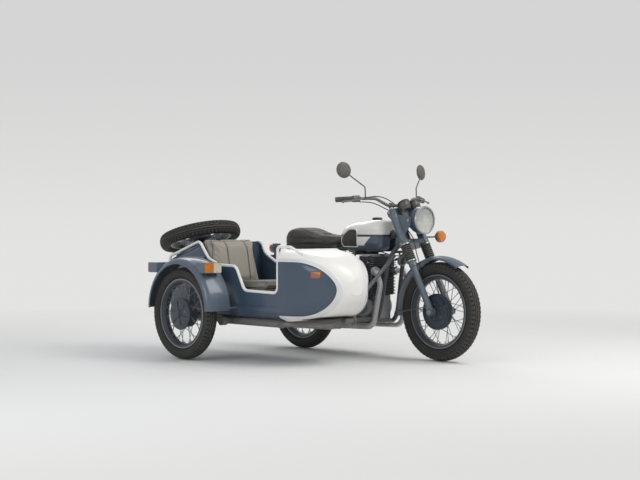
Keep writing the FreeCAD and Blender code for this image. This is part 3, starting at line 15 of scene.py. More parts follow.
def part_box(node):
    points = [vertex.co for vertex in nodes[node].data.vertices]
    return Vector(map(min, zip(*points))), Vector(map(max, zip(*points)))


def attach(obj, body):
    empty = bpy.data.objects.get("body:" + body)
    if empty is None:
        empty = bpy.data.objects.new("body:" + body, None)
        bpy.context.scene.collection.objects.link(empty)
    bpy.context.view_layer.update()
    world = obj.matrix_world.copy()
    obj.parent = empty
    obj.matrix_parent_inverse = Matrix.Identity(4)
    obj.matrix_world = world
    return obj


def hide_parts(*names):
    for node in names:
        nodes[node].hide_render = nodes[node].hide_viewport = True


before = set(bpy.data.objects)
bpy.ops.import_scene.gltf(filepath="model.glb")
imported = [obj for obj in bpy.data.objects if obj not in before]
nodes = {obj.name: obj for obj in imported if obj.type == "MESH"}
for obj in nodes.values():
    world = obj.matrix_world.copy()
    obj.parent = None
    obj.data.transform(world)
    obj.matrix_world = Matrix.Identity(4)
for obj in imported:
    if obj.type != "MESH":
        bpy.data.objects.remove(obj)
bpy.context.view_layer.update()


# %% [markdown]
# ## A small language for finishes
# A material is a graph of nodes. Wiring a graph by hand takes many lines, so two small classes
# do it. `Signal` wraps a socket, so that shader sums can be written as plain Python expressions,
# and `Graph` adds any other node in one call. A `Finish` is the graph of one material.

# %% A socket that can be added, scaled and compared
class Signal:
    """A node's output. Each operator adds the Math node that it stands for."""

    def __init__(self, graph, socket):
        self.graph = graph
        self.socket = socket

    def maths(self, operation, first, second=0.0):
        return self.graph.node("ShaderNodeMath", {"operation": operation}, {0: first, 1: second})

    def __add__(self, other):
        return self.maths("ADD", self, other)

    def __radd__(self, other):
        return self.maths("ADD", other, self)

    def __sub__(self, other):
        return self.maths("SUBTRACT", self, other)

    def __rsub__(self, other):
        return self.maths("SUBTRACT", other, self)

    def __mul__(self, other):
        return self.maths("MULTIPLY", self, other)

    def __rmul__(self, other):
        return self.maths("MULTIPLY", other, self)

    def __truediv__(self, other):
        return self.maths("DIVIDE", self, other)

    def wave(self):
        """The sine of the value, in radians."""
        return self.maths("SINE", self)

    def crest(self):
        """The cosine of the value, which is 1 at every whole turn."""
        return self.maths("COSINE", self)

    def __abs__(self):
        return self.maths("ABSOLUTE", self)

    def __and__(self, other):
        """Both masks at once: the smaller of the two."""
        return self.maths("MINIMUM", self, other)

    def __or__(self, other):
        """Either mask: the larger of the two."""
        return self.maths("MAXIMUM", self, other)

    def above(self, edge, soft=0.001):
        """1 where the value is over the edge and 0 below it, with a soft step between."""
        return self.graph.ramp(self, edge - soft, edge + soft, {"interpolation_type": "SMOOTHSTEP"})

    def below(self, edge, soft=0.001):
        return 1 - self.above(edge, soft)

    def between(self, low, high, soft=0.001):
        return self.above(low, soft) & self.below(high, soft)


print("a signal knows", len([name for name in vars(Signal) if name != "__init__"]), "words")


# %% A graph whose nodes come one call at a time
class Graph:
    """The nodes of a material or of the world."""

    def __init__(self, tree):
        self.tree = tree

    def plug(self, socket, value):
        """Links a signal to a socket, or sets the socket's own value."""
        if isinstance(value, Signal):
            self.tree.links.new(value.socket, socket)
        elif hasattr(socket.default_value, "__len__") and not hasattr(value, "__len__"):
            socket.default_value = [value] * len(socket.default_value)
        elif hasattr(value, "__len__") and len(value) == 3 and len(socket.default_value) == 4:
            socket.default_value = (*value, 1.0)
        else:
            socket.default_value = value

    def node(self, kind, settings=None, inputs=None, output=0):
        """Adds a node: its settings first, then what feeds its sockets. Returns one output."""
        node = self.tree.nodes.new(kind)
        for name, value in (settings or {}).items():
            setattr(node, name, value)
        for name, value in (inputs or {}).items():
            self.plug(node.inputs[name], value)
        return Signal(self, node.outputs[output])

    def place(self):
        """Where a point of the surface is, in metres, in the machine's own frame."""
        return self.node("ShaderNodeTexCoord", output=3)

    def axes(self, vector):
        """The three numbers of a vector, each as a signal."""
        split = self.node("ShaderNodeSeparateXYZ", inputs={0: vector})
        return [Signal(self, part) for part in split.socket.node.outputs]

    def vectors(self, operation, first, second=(0, 0, 0), output=0):
        """A sum on two vectors. Its second output is the number that a length or a product gives."""
        return self.node("ShaderNodeVectorMath", {"operation": operation}, {0: first, 1: second}, output)

    def ramp(self, value, low, high, settings=None):
        """0 up to low, 1 from high on, and a slope between them."""
        return self.node("ShaderNodeMapRange", settings, {"Value": value, "From Min": low, "From Max": high})

    def noise(self, scale, detail=4.0, stretch=(1, 1, 1), rough=0.55):
        """Cloudy noise, with its grain size set by scale."""
        where = self.node("ShaderNodeMapping", inputs={"Vector": self.place(), "Scale": stretch})
        return self.node("ShaderNodeTexNoise",
                         inputs={"Vector": where, "Scale": scale, "Detail": detail, "Roughness": rough})

    def cells(self, scale, output=0, feature="F1"):
        """Cell noise: the distance to the nearest of many scattered points."""
        return self.node("ShaderNodeTexVoronoi", {"feature": feature},
                         {"Vector": self.place(), "Scale": scale}, output)

    def blend(self, mask, under, over):
        """One colour over another, by a mask."""
        return self.node("ShaderNodeMix", {"data_type": "RGBA"}, {0: mask, 6: under, 7: over}, 2)

    def bump(self, height, depth, strength=1.0, onto=None):
        """Relief of the given depth in metres, for the shader's Normal."""
        inputs = {"Height": height, "Distance": depth, "Strength": strength}
        if onto is not None:
            inputs["Normal"] = onto
        return self.node("ShaderNodeBump", inputs=inputs)

    def corners(self):
        """How sharply the surface turns: over 0.5 on a ridge and under it in a groove."""
        return self.node("ShaderNodeNewGeometry", output=7)


class Finish(Graph):
    """A material that starts with one Principled shader."""

    def __init__(self, name):
        self.material = bpy.data.materials.new(name)
        self.material.use_nodes = True
        super().__init__(self.material.node_tree)
        self.shader = self.tree.nodes["Principled BSDF"]

    def surface(self, **values):
        """Sets the shader's sockets, such as base_color, roughness or coat_weight."""
        for name, value in values.items():
            self.plug(self.shader.inputs[name.replace("_", " ").title().replace("Ior", "IOR")], value)
        return self.material


print("the finish kit is ready")


# %% [markdown]
# ## Paint
# Sprayed enamel is never one colour. Its film is a little thicker in some places than in others,
# dust settles in the hollows, and corners are rubbed thin. Each paint here is the same recipe:
# a base colour that drifts slowly, a fine orange-peel relief, a clear gloss coat, and grime.

# %% The enamel recipe
def drifted(finish, colour, amount=0.10, scale=2.6):
    """A colour that drifts a little lighter and darker over the surface."""
    darker = [channel * (1 - amount) for channel in colour]
    lighter = [min(1.0, channel * (1 + amount) + 0.004) for channel in colour]
    return finish.blend(finish.noise(scale, 5.0), darker, lighter)


def grimed(finish, colour, grime=(0.10, 0.09, 0.075), share=0.22, low=0.0, high=0.55):
    """The colour with road dust near the ground, in patches."""
    near_ground = 1 - finish.ramp(finish.axes(finish.place())[2], low, high)
    patches = finish.noise(9.0, 6.0).above(0.48, 0.16)
    return finish.blend(near_ground * patches * share, colour, grime)


def enamel(name, colour, rough=0.28, coat=0.5, chips=0.12, peel=0.00012):
    """Sprayed enamel for panels."""
    finish = Finish(name)
    paint = grimed(finish, drifted(finish, colour, 0.07))
    rubbed = finish.corners().above(0.60, 0.05) * finish.noise(60.0, 3.0).above(0.5, 0.1) * chips
    paint = finish.blend(rubbed, paint, [0.18 + channel * 0.5 for channel in colour])
    peel_relief = finish.noise(420.0, 2.0)
    return finish.surface(base_color=paint, roughness=rough + finish.noise(14.0, 5.0) * 0.16,
                          coat_weight=coat, coat_roughness=0.12, normal=finish.bump(peel_relief, peel, 0.35))


slate = (0.040, 0.068, 0.110)
slate_light = (0.082, 0.112, 0.152)
fork_slate = (0.092, 0.122, 0.150)
warm_white = (0.84, 0.83, 0.79)
slate_paint = enamel("slate_enamel", slate)
guard_paint = enamel("guard_enamel", slate_light, 0.32)
fork_enamel = enamel("fork_enamel", fork_slate, 0.36, 0.25)
white_paint = enamel("white_enamel", warm_white, 0.36, 0.3, chips=0.05)
band_paint = enamel("band_enamel", (0.72, 0.72, 0.73), 0.3, 0.5, chips=0.05)
chassis_paint = enamel("chassis_enamel", (0.150, 0.147, 0.143), 0.42, 0.2, chips=0.3)
frame_paint = enamel("frame_enamel", (0.055, 0.060, 0.068), 0.38, 0.3, chips=0.2)
warm_grey = enamel("warm_grey_enamel", (0.160, 0.151, 0.136), 0.42, 0.2, 0.0, 0.00003)
drum_paint = enamel("drum_enamel", (0.028, 0.042, 0.059), 0.36, 0.3)
pod_paint = enamel("pod_enamel", (0.078, 0.074, 0.067), 0.42, 0.2, 0.0, 0.00003)
mirror_paint = enamel("mirror_enamel", (0.105, 0.099, 0.087), 0.5, 0.1, 0.0, 0.0)
print("eleven enamels")


# %% [markdown]
# ## Bare and plated metal, rubber, plastic
# Metal reads by its reflections, so its colour stays plain and its roughness carries the wear.
# Rubber and plastic are the other way round: they are dull, and show their mould grain and dust.

# %% Metal recipes
def plated(name, colour, rough, metal=0.82):
    """Dull plating with fine brushing, and hand-wide clouds where it has aged."""
    finish = Finish(name)
    clouds = finish.noise(11.0, 6.0)
    tone = finish.blend(clouds, [channel * 0.72 for channel in colour], colour)
    tone = grimed(finish, tone, (0.13, 0.11, 0.085), 0.4)
    scratches = finish.noise(160.0, 3.0, (1, 14, 14))
    return finish.surface(base_color=tone, metallic=metal, roughness=rough + clouds * 0.22,
                          normal=finish.bump(scratches, 0.00008, 0.3))


def cast(name, colour, rough=0.52, metal=0.55):
    """Sand-cast alloy: a pebbled skin, dark in its hollows."""
    finish = Finish(name)
    grain = finish.cells(520.0)
    tone = drifted(finish, colour, 0.2, 7.0)
    tone = finish.blend(finish.corners().above(0.53, 0.04) * 0.6, tone, [channel * 2.2 for channel in colour])
    tone = grimed(finish, tone, (0.07, 0.06, 0.05), 0.5, 0.0, 0.7)
    return finish.surface(base_color=tone, metallic=metal, roughness=rough + finish.noise(30.0) * 0.2,
                          normal=finish.bump(grain, 0.00035, 0.5))


header_steel = plated("exhaust_plating", (0.70, 0.70, 0.69), 0.40, 0.5)
bright_steel = plated("bright_fasteners", (0.50, 0.50, 0.49), 0.24)
case_metal = cast("crankcase_alloy", (0.285, 0.287, 0.290), 0.5, 0.4)
fin_metal = cast("dark_fins", (0.088, 0.092, 0.099), 0.58)
# the barrel core's near black is painted shade between the fins
core_painted_shade = cast("barrel_shade", (0.030, 0.032, 0.035), 0.7, 0.2)
dull_fasteners = plated("dull_fasteners", (0.26, 0.26, 0.26), 0.42)
print("six metals")


# %% Rubber, plastic and lens recipes
def rubber(name, colour=(0.030, 0.029, 0.028), dust=(0.10, 0.09, 0.075), share=0.55):
    """Moulded rubber with a bloom of dust."""
    finish = Finish(name)
    bloom = finish.noise(16.0, 6.0).above(0.45, 0.22) * share
    tone = finish.blend(bloom, colour, dust)
    relief = finish.noise(340.0, 3.0)
    return finish.surface(base_color=tone, roughness=0.74 + finish.noise(40.0) * 0.14,
                          normal=finish.bump(relief, 0.0002, 0.5))


def plastic(name, colour, rough=0.42):
    """Injection-moulded plastic with a fine spark grain."""
    finish = Finish(name)
    tone = drifted(finish, colour, 0.12, 12.0)
    return finish.surface(base_color=tone, roughness=rough + finish.noise(25.0) * 0.12,
                          normal=finish.bump(finish.cells(900.0), 0.00012, 0.4))


prism_turn = 1260.0
nose_start = 0.5


def lens(name, colour, forward=None):
    """A coloured lens of small square prisms; forward is a darker tone for the one on the body's nose, as
    painted shade.
    """
    finish = Finish(name)
    x, y, z = finish.axes(finish.place())
    across = ((y + x * 0.4) * prism_turn).wave()
    up = (z * prism_turn).wave()
    prisms = abs(across) * abs(up)
    deep = [channel * 0.72 for channel in colour]
    tone = finish.blend(prisms, deep, colour)
    # the lens on the body's nose takes the darker forward tone: painted shade
    if forward is not None:
        tone = finish.blend(x.above(nose_start, 0.01), tone, forward)
    return finish.surface(base_color=tone, roughness=0.16 + finish.noise(30.0) * 0.08, coat_weight=0.7,
                          coat_roughness=0.05, normal=finish.bump(prisms, 0.0006, 0.6))


def gaiter_finish():
    """Rubber bellows, with painted highlights along their ridges and painted shade down in the folds."""
    finish = Finish("gaiter_rubber")
    tone = drifted(finish, (0.030, 0.030, 0.028), 0.15, 12.0)
    folds = finish.corners()
    # painted highlight on the ridges of the bellows
    tone = finish.blend(folds.above(0.51, 0.04) * 0.75, tone, (0.125, 0.122, 0.112))
    # painted shade down in the folds
    tone = finish.blend(folds.below(0.49, 0.04) * 0.8, tone, (0.008, 0.008, 0.008))
    return finish.surface(base_color=tone, roughness=0.46 + finish.noise(30.0) * 0.16)


black_rubber = rubber("black_rubber")
gaiter_rubber = gaiter_finish()
tyre_rubber = rubber("tyre_rubber", (0.022, 0.022, 0.022), (0.050, 0.047, 0.042), 0.4)
black_plastic = plastic("black_plastic", (0.030, 0.030, 0.031))
# the nose lamp's amber is painted darker than the other lenses: painted shade
amber_lens = lens("amber_lens", (0.74, 0.225, 0.020), forward=(0.36, 0.115, 0.045))
signal_lens = lens("signal_lens", (0.74, 0.225, 0.020))
red_lens = lens("red_lens", (0.42, 0.018, 0.030))
clear_lens = lens("clear_lens", (0.80, 0.72, 0.58))
grip_rubber = rubber("grip_rubber", (0.075, 0.072, 0.066), (0.15, 0.14, 0.12), 0.5)
cable_plastic = plastic("cable_plastic", (0.020, 0.020, 0.021), 0.35)
needle_paint = plastic("needle_paint", (0.75, 0.20, 0.05), 0.5)
print("four rubbers, three plastics, four lenses")


# %% A mirror's silver
def silvered(name):
    """Plain silvered glass, a little dusty."""
    finish = Finish(name)
    dust = finish.noise(30.0, 5.0).above(0.5, 0.2) * 0.12
    tone = finish.blend(dust, (0.72, 0.73, 0.72), (0.4, 0.39, 0.36))
    return finish.surface(base_color=tone, metallic=1.0, roughness=0.04 + finish.noise(12.0) * 0.04)


mirror_silver = silvered("mirror_silver")
print("one silver")


# %% [markdown]
# ## Vinyl
# Seat vinyl is cloth with a plastic skin that is rolled while soft with a leather grain: small
# rounded cells with a fine crease between them. It shines a little where it is sat on.

# %% The vinyl recipe
def vinyl(name, colour, grain=340.0, rough=0.50):
    """Grained vinyl over soft folds; grain is the number of cells in a metre."""
    finish = Finish(name)
    creases = finish.cells(grain, 0, "DISTANCE_TO_EDGE").above(0.06, 0.06)
    tone = drifted(finish, colour, 0.10, 5.0)
    tone = finish.blend((1 - creases) * 0.35, tone, [channel * 0.6 for channel in colour])
    soft_folds = finish.bump(finish.noise(22.0), 0.0035, 0.25)
    return finish.surface(base_color=tone, roughness=rough + finish.noise(6.0) * 0.18,
                          normal=finish.bump(creases, 0.00025, 0.7, soft_folds))


seat_vinyl = vinyl("dark_seat_vinyl", (0.064, 0.059, 0.053))
sidecar_vinyl = vinyl("grey_beige_vinyl", (0.370, 0.338, 0.288))
piping_vinyl = vinyl("piping_vinyl", (0.030, 0.028, 0.026), 600.0, 0.42)
cushion_vinyl = vinyl("olive_grey_vinyl", (0.137, 0.131, 0.106))
cushion_piping = vinyl("olive_grey_piping", (0.085, 0.086, 0.072), 600.0, 0.42)
sidecar_piping = vinyl("grey_beige_piping", (0.150, 0.135, 0.115), 600.0, 0.42)
print("six vinyls")


# %% [markdown]
# ## Paint that changes over one panel
# The tank is masked before it is sprayed: white above, a dark line along the middle, a white lower
# panel that runs back from the knee, and slate underneath. Each mask is a comparison of heights
# and lengths, measured from the tank's own box, so the pattern follows the tank.

# %% The tank's two-tone paint
tank_slate = (0.062, 0.086, 0.118)
line_low, line_high = 0.475, 0.545
panel_low, panel_front = 0.235, 0.545
panel_slope = 0.53
piping_wide = 0.020


def tank_finish():
    """White over slate, in shares of the tank's length and height."""
    low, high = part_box("fuel_tank")
    finish = Finish("tank_two_tone")
    x, y, z = finish.axes(finish.place())
    length = (x - low.x) / (high.x - low.x)
    height = (z - low.z) / (high.z - low.z)
    stripe = height.between(line_low, line_high, 0.006)
    upper = height.above((line_low + line_high) / 2, 0.004)
    # the lower white panel ends in a slant at the front and follows the tank's belly below
    slant = length - height * panel_slope
    panel = slant.below(panel_front, 0.006) & height.above(panel_low, 0.006)
    edge = slant.below(panel_front + piping_wide, 0.005) & height.above(panel_low - 0.035, 0.006)
    piping = edge & (1 - panel) & height.below(0.48, 0.004)
    white = grimed(finish, drifted(finish, warm_white, 0.05), share=0.1)
    paint = finish.blend(upper | panel, drifted(finish, tank_slate, 0.08), white)
    paint = finish.blend(piping, paint, (0.86, 0.86, 0.84))
    paint = finish.blend(stripe, paint, (0.045, 0.046, 0.048))
    return finish.surface(base_color=paint, roughness=0.24 + finish.noise(14.0) * 0.12, coat_weight=0.55,
                          coat_roughness=0.1, normal=finish.bump(finish.noise(420.0, 2.0), 0.0001, 0.3))


tank_paint = tank_finish()
print("the tank is masked and sprayed")


# %% [markdown]
# ## Wheels
# One node holds the rim, the spokes and the drum of a wheel. Their finishes differ only by how far
# a point is from the axle, so the mask is a distance from a line: the length of the cross product
# of the point's place and the axle's direction.

# %% A finish by distance from an axle
def middle_of(node):
    """The middle of a node's box."""
    low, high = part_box(node)
    return (low + high) * 0.5


def wheel_finish(name, node, axis, drum_radius, rim_radius, lip_radius):
    """Painted drum and rim, bright spokes between them, and a rim whose lip is rubbed."""
    finish = Finish(name)
    arm = finish.vectors("SUBTRACT", finish.place(), middle_of(node))
    radius = finish.vectors("LENGTH", finish.vectors("CROSS_PRODUCT", arm, axis), output=1)
    spoke = radius.between(drum_radius, rim_radius, 0.0008)
    lip = radius.above(lip_radius, 0.0012)
    paint = grimed(finish, drifted(finish, (0.036, 0.045, 0.058), 0.12), share=0.25)
    tone = finish.blend(spoke, paint, (0.20, 0.20, 0.20))
    tone = finish.blend(lip * 0.75, tone, (0.30, 0.31, 0.33))
    return finish.surface(base_color=tone, metallic=spoke * 0.8 + lip * 0.5, coat_weight=0.15,
                          roughness=0.38 + finish.noise(30.0) * 0.14,
                          normal=finish.bump(finish.noise(300.0, 2.0), 0.00012, 0.35))


crossways = Vector((0, 1, 0))
spare_tilt = math.radians(16.63)
spare_axis = Vector((-math.sin(spare_tilt), 0, math.cos(spare_tilt)))
print("the spare wheel leans", round(math.degrees(spare_tilt), 1), "degrees")


# %% Every node gets its finish
coats = {
    "frame": frame_paint, "crankcase": case_metal, "cylinders": fin_metal, "exhausts": header_steel,
    "fuel_tank": tank_paint, "filler_cap": black_plastic, "dual_seat": seat_vinyl,
    "rear_mudguard": slate_paint, "red_lenses": red_lens, "swing_arm": frame_paint,
    "rear_shocks": frame_paint, "side_covers": slate_paint, "horn": black_plastic, "body_tub": slate_paint,
    "body_cowl": white_paint, "side_bands": band_paint, "cockpit_bead": white_paint,
    "amber_lenses": amber_lens, "white_lens": clear_lens, "seat_cushion": sidecar_vinyl,
    "seat_back": sidecar_vinyl, "sidecar_mudguard": guard_paint, "side_lamps": guard_paint,
    "sidecar_chassis": chassis_paint, "wheel_arm": chassis_paint, "sidecar_struts": chassis_paint,
    "upper_yoke": fork_enamel, "lower_yoke": fork_enamel, "fork_legs": fork_enamel,
    "fork_gaiters": gaiter_rubber, "lamp_ears": fork_enamel, "headlamp_shell": slate_paint,
    "headlamp_lens": clear_lens, "instruments": pod_paint, "handlebar": warm_grey, "grips": black_rubber,
    "bar_controls": warm_grey, "mirrors": mirror_paint, "front_mudguard": guard_paint,
    "turn_signal": warm_grey, "turn_signal_lens": signal_lens, "brake_plate": drum_paint,
    "front_tyre": tyre_rubber, "rear_tyre": tyre_rubber, "sidecar_tyre": tyre_rubber,
    "spare_tyre": tyre_rubber,
    "front_rim": wheel_finish("front_wheel_paint", "front_rim", crossways, 0.124, 0.221, 0.246),
    "rear_rim": wheel_finish("rear_wheel_paint", "rear_rim", crossways, 0.097, 0.208, 0.234),
    "sidecar_rim": wheel_finish("sidecar_wheel_paint", "sidecar_rim", crossways, 0.097, 0.208, 0.234),
    "spare_rim": wheel_finish("spare_wheel_paint", "spare_rim", spare_axis, 0.082, 0.192, 0.217),
    "hub_cover": drum_paint, "trunk_lid": slate_paint, "centre_stand": frame_paint,
    "carburettors": case_metal, "foot_controls": frame_paint, "rubber_pads": black_rubber,
    "chain_case": frame_paint, "body_tail": slate_paint, "bulkhead": slate_paint,
    "control_cables": black_plastic,
}
for name, material in coats.items():
    for material_slot in nodes[name].material_slots:
        material_slot.link = "OBJECT"
        material_slot.material = material
    nodes[name].data.shade_smooth()
plain = sorted(set(nodes) - set(coats))
print("coated", len(coats), "nodes; left plain:", plain)


# %% [markdown]
# ## The studio
# The floor is one pale sheet that sweeps up behind the machine, so no horizon shows. Light comes
# from large soft lamps. What the camera, mirrors and glass see of the sheet is its colour alone,
# with painted shade that darkens it towards the top.

# %% Floor, sweep and world
def sweep_sheet(size=14.0, bend=5.0, steps=24):
    """A floor with a quarter-round bend up to a wall, across the camera's line of sight."""
    line = [(-size, 0.0), (size, 0.0)]
    for step in range(1, steps + 1):
        turn = math.pi / 2 * step / steps
        line.append((size + bend * math.sin(turn), bend - bend * math.cos(turn)))
    line.append((size + bend, size))
    vertices = [(along, side, height) for along, height in line for side in (-size * 2, size * 2)]
    faces = [(2 * i, 2 * i + 2, 2 * i + 3, 2 * i + 1) for i in range(len(line) - 1)]
    mesh = bpy.data.meshes.new("studio_sheet")
    mesh.from_pydata(vertices, [], faces)
    mesh.shade_smooth()
    return mesh


def stood(name, data):
    """A new object in the scene's collection."""
    thing = bpy.data.objects.new(name, data)
    bpy.context.scene.collection.objects.link(thing)
    return thing


# the backdrop darkens from its foot to its top: painted shade
backdrop_low = (0.775, 0.775, 0.76)
backdrop_shaded_top = (0.66, 0.665, 0.66)


def sheet_finish():
    """Matt paint near the machine, which fades farther off into the backdrop's tones, darkened towards the
    top as painted shade.
    """
    finish = Finish("studio_sheet")
    tone = finish.blend(finish.noise(0.25, 2.0), (0.80, 0.80, 0.785), (0.83, 0.83, 0.815))
    material = finish.surface(base_color=tone, roughness=0.9, specular_ior_level=0.1)
    height = finish.axes(finish.place())[2]
    reach = finish.vectors("LENGTH", finish.place(), output=1)
    far_off = finish.ramp(reach, 2.2, 6.5, {"interpolation_type": "SMOOTHSTEP"})
    looking, mirrored, through = [finish.node("ShaderNodeLightPath", output=kind) for kind in (0, 3, 6)]
    # painted shade: the backdrop's tone darkens upwards
    tones = finish.blend(height.above(2.2, 2.4), backdrop_low, backdrop_shaded_top)
    glow = finish.node("ShaderNodeEmission", inputs={"Color": tones, "Strength": 1.0})
    paint = Signal(finish, finish.shader.outputs[0])
    shown = finish.node("ShaderNodeMixShader",
                        inputs={0: far_off * (looking | mirrored | through), 1: paint, 2: glow})
    finish.plug(finish.tree.nodes["Material Output"].inputs["Surface"], shown)
    return material


sheet = stood("studio_sheet", sweep_sheet())
sheet.rotation_euler = (0, 0, math.radians(137.2))
sheet.location = (0, 0, -0.001)
sheet.data.materials.append(sheet_finish())
print("the sheet has", len(sheet.data.polygons), "faces")

# %% The room's light, and what the camera sees past the sheet's edge
world = bpy.data.worlds.new("soft_room")
bpy.context.scene.world = world
world.use_nodes = True
room = Graph(world.node_tree)
background = room.tree.nodes["Background"]
room.plug(background.inputs["Color"], (0.86, 0.87, 0.90))
room.plug(background.inputs["Strength"], 0.62)
height_in_room = room.axes(room.node("ShaderNodeTexCoord"))[2]
# past the sheet's edge, the same painted shade darkens the backdrop upwards
tones = room.blend(room.ramp(height_in_room, 0.0, 0.38), backdrop_low, backdrop_shaded_top)
beyond = room.node("ShaderNodeBackground", inputs={"Color": tones})
seen = room.node("ShaderNodeLightPath")
room.plug(room.tree.nodes["World Output"].inputs["Surface"],
          room.node("ShaderNodeMixShader",
                    inputs={0: seen, 1: Signal(room, background.outputs[0]), 2: beyond}))
print("the room is lit")


# %% Lamps
def softbox(name, place, aim, size, power, colour=(1, 1, 1)):
    """A rectangular lamp that looks from its place at its aim."""
    lamp = bpy.data.lights.new(name, "AREA")
    lamp.shape = "RECTANGLE"
    lamp.size, lamp.size_y = size
    lamp.energy = power
    lamp.color = colour
    holder = stood(name, lamp)
    holder.location = place
    holder.rotation_euler = (Vector(aim) - Vector(place)).to_track_quat("-Z", "Y").to_euler()


softbox("key_lamp", (3.6, 1.6, 4.6), (0.2, -0.2, 0.4), (3.0, 3.0), 150, (1.0, 0.98, 0.95))
softbox("side_lamp", (1.5, -5.5, 2.6), (0, -0.2, 0.4), (3.0, 2.0), 60, (0.95, 0.97, 1.0))
softbox("back_lamp", (-4.2, 2.8, 3.6), (0, 0, 0.5), (3.0, 2.0), 70)
print("three softboxes")

# %% Camera
camera_place = Vector((7.461, -6.846, 0.96))
camera_turn = 47.2
camera_dip = 0.76
camera_data = bpy.data.cameras.new("portrait_camera")
camera_data.lens = 80.5
camera_data.sensor_width = 36.0
camera_data.clip_end = 100.0
camera = stood("portrait_camera", camera_data)
camera.location = camera_place
camera.rotation_euler = (math.radians(90 - camera_dip), 0, math.radians(camera_turn))
bpy.context.scene.camera = camera
bpy.context.scene.view_settings.view_transform = "Standard"
print("camera stands", round(camera_place.length, 2), "m away")


# %% [markdown]
# ## Measuring from the rear wheel
# The machine was drawn in millimetres from the point where the rear wheel touches the ground.
# Fittings are easier to place on it with the same ruler, so `at` turns such a place into the
# scene's metres. The wheel's own box says where that point is.

# %% A ruler and a mesh maker
tyre_low, tyre_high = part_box("rear_tyre")
contact = Vector(((tyre_low.x + tyre_high.x) / 2, (tyre_low.y + tyre_high.y) / 2, 0))


def at(x, y, z):
    """A place in millimetres from the rear wheel's contact with the ground."""
    return contact + Vector((x, y, z)) * 0.001


def piece(name, vertices, faces, material, body, crease=35.0):
    """A named mesh with its finish, carried by one body of the machine."""
    mesh = bpy.data.meshes.new(name)
    mesh.from_pydata([tuple(vertex) for vertex in vertices], [], faces)
    mesh.validate()
    mesh.materials.append(material)
    mesh.shade_smooth()
    mesh.set_sharp_from_angle(angle=math.radians(crease))
    thing = stood(name, mesh)
    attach(thing, body)
    return thing


def ray(degrees):
    """A unit vector across a wheel's side: 0 is straight ahead and 90 is up."""
    angle = math.radians(degrees)
    return Vector((math.cos(angle), 0, math.sin(angle)))


def rays(count, start=0.0):
    """Rays evenly round a wheel's side; start moves the first one on by a share of a step."""
    return [ray(360 * (index + start) / count) for index in range(count)]


def ring_quads(rings, count):
    """The faces between rings of vertices that follow one another."""
    quads = []
    for first in range(0, (rings - 1) * count, count):
        for step in range(count):
            near, after = first + step, first + (step + 1) % count
            quads.append((near, after, after + count, near + count))
    return quads


def end_caps(rings, count):
    """One face over the first ring and one over the last."""
    return [tuple(range(count))[::-1], tuple(range((rings - 1) * count, rings * count))]


def turned_rings(profile, centre, axis, segments):
    """Vertices and faces of a (radius, along) profile turned about an axis, in metres."""
    turn = Vector((0, 0, 1)).rotation_difference(Vector(axis).normalized())
    vertices = []
    for radius, along in profile:
        for step in range(segments):
            angle = 2 * math.pi * step / segments
            spoke = Vector((radius * math.cos(angle), radius * math.sin(angle), along))
            vertices.append(Vector(centre) + turn @ spoke)
    return vertices, ring_quads(len(profile), segments) + end_caps(len(profile), segments)


print("the ruler starts at", [round(value, 4) for value in contact])


# %% A tray for small fittings
class Batch:
    """Many small fittings of one finish, gathered into one mesh."""

    def __init__(self):
        self.vertices = []
        self.faces = []

    def add(self, vertices, faces):
        """Takes a shape in; its faces count from its own first vertex."""
        start = len(self.vertices)
        self.vertices += vertices
        self.faces += [tuple(index + start for index in face) for face in faces]

    def turned(self, profile, centre, axis, segments=24):
        """A round fitting, from a (radius, along) profile in metres."""
        self.add(*turned_rings(profile, centre, axis, segments))

    def bolt(self, place, axis, size=0.005):
        """A washer and a chamfered hexagon head; size is the head's radius."""
        axis = Vector(axis).normalized()
        washer = [(size * 1.45, 0), (size * 1.45, size * 0.2), (size * 0.9, size * 0.24)]
        self.turned(washer, place, axis, 20)
        head = [(size, size * 0.2), (size, size * 0.8), (size * 0.86, size * 0.98), (size * 0.3, size)]
        self.turned(head, place, axis, 6)

    def screw(self, place, axis, size=0.004):
        """A low domed screw head with a shallow dimple."""
        dome = [(size, 0), (size * 0.94, size * 0.3), (size * 0.6, size * 0.52), (size * 0.3, size * 0.5),
                (size * 0.22, size * 0.3)]
        self.turned(dome, place, axis, 16)

    def block(self, centre, half, turn=None):
        """A bevelled block: a box whose twelve edges are cut back."""
        mesh = bmesh.new()
        bmesh.ops.create_cube(mesh, size=2.0)
        for vertex in mesh.verts:
            vertex.co = vertex.co * Vector(half)
        bmesh.ops.bevel(mesh, geom=mesh.edges[:], offset=min(half) * 0.25, segments=2, affect="EDGES",
                        profile=0.5)
        mesh.verts.index_update()
        turn = turn or Quaternion()
        vertices = [Vector(centre) + turn @ vertex.co for vertex in mesh.verts]
        faces = [tuple(vertex.index for vertex in face.verts) for face in mesh.faces]
        mesh.free()
        self.add(vertices, faces)

    def tube(self, points, radius, segments=10):
        """A round wire through points, with rings square to its direction."""
        vertices = []
        side = None
        for index, point in enumerate(points):
            ahead = (points[min(index + 1, len(points) - 1)] - points[max(index - 1, 0)]).normalized()
            if side is None:
                side = Vector((0, 0, 1)) if abs(ahead.z) < 0.9 else Vector((0, 1, 0))
            # the last ring's side, made square to the new direction, keeps the wire from twisting
            side = (side - ahead * side.dot(ahead)).normalized()
            other = ahead.cross(side)
            for step in range(segments):
                angle = 2 * math.pi * step / segments
                vertices.append(point + (side * math.cos(angle) + other * math.sin(angle)) * radius)
        self.add(vertices, ring_quads(len(points), segments) + end_caps(len(points), segments))

    def done(self, name, material, body, crease=35.0):
        """Turns the tray into one named piece on a body."""
        return piece(name, self.vertices, self.faces, material, body, crease)


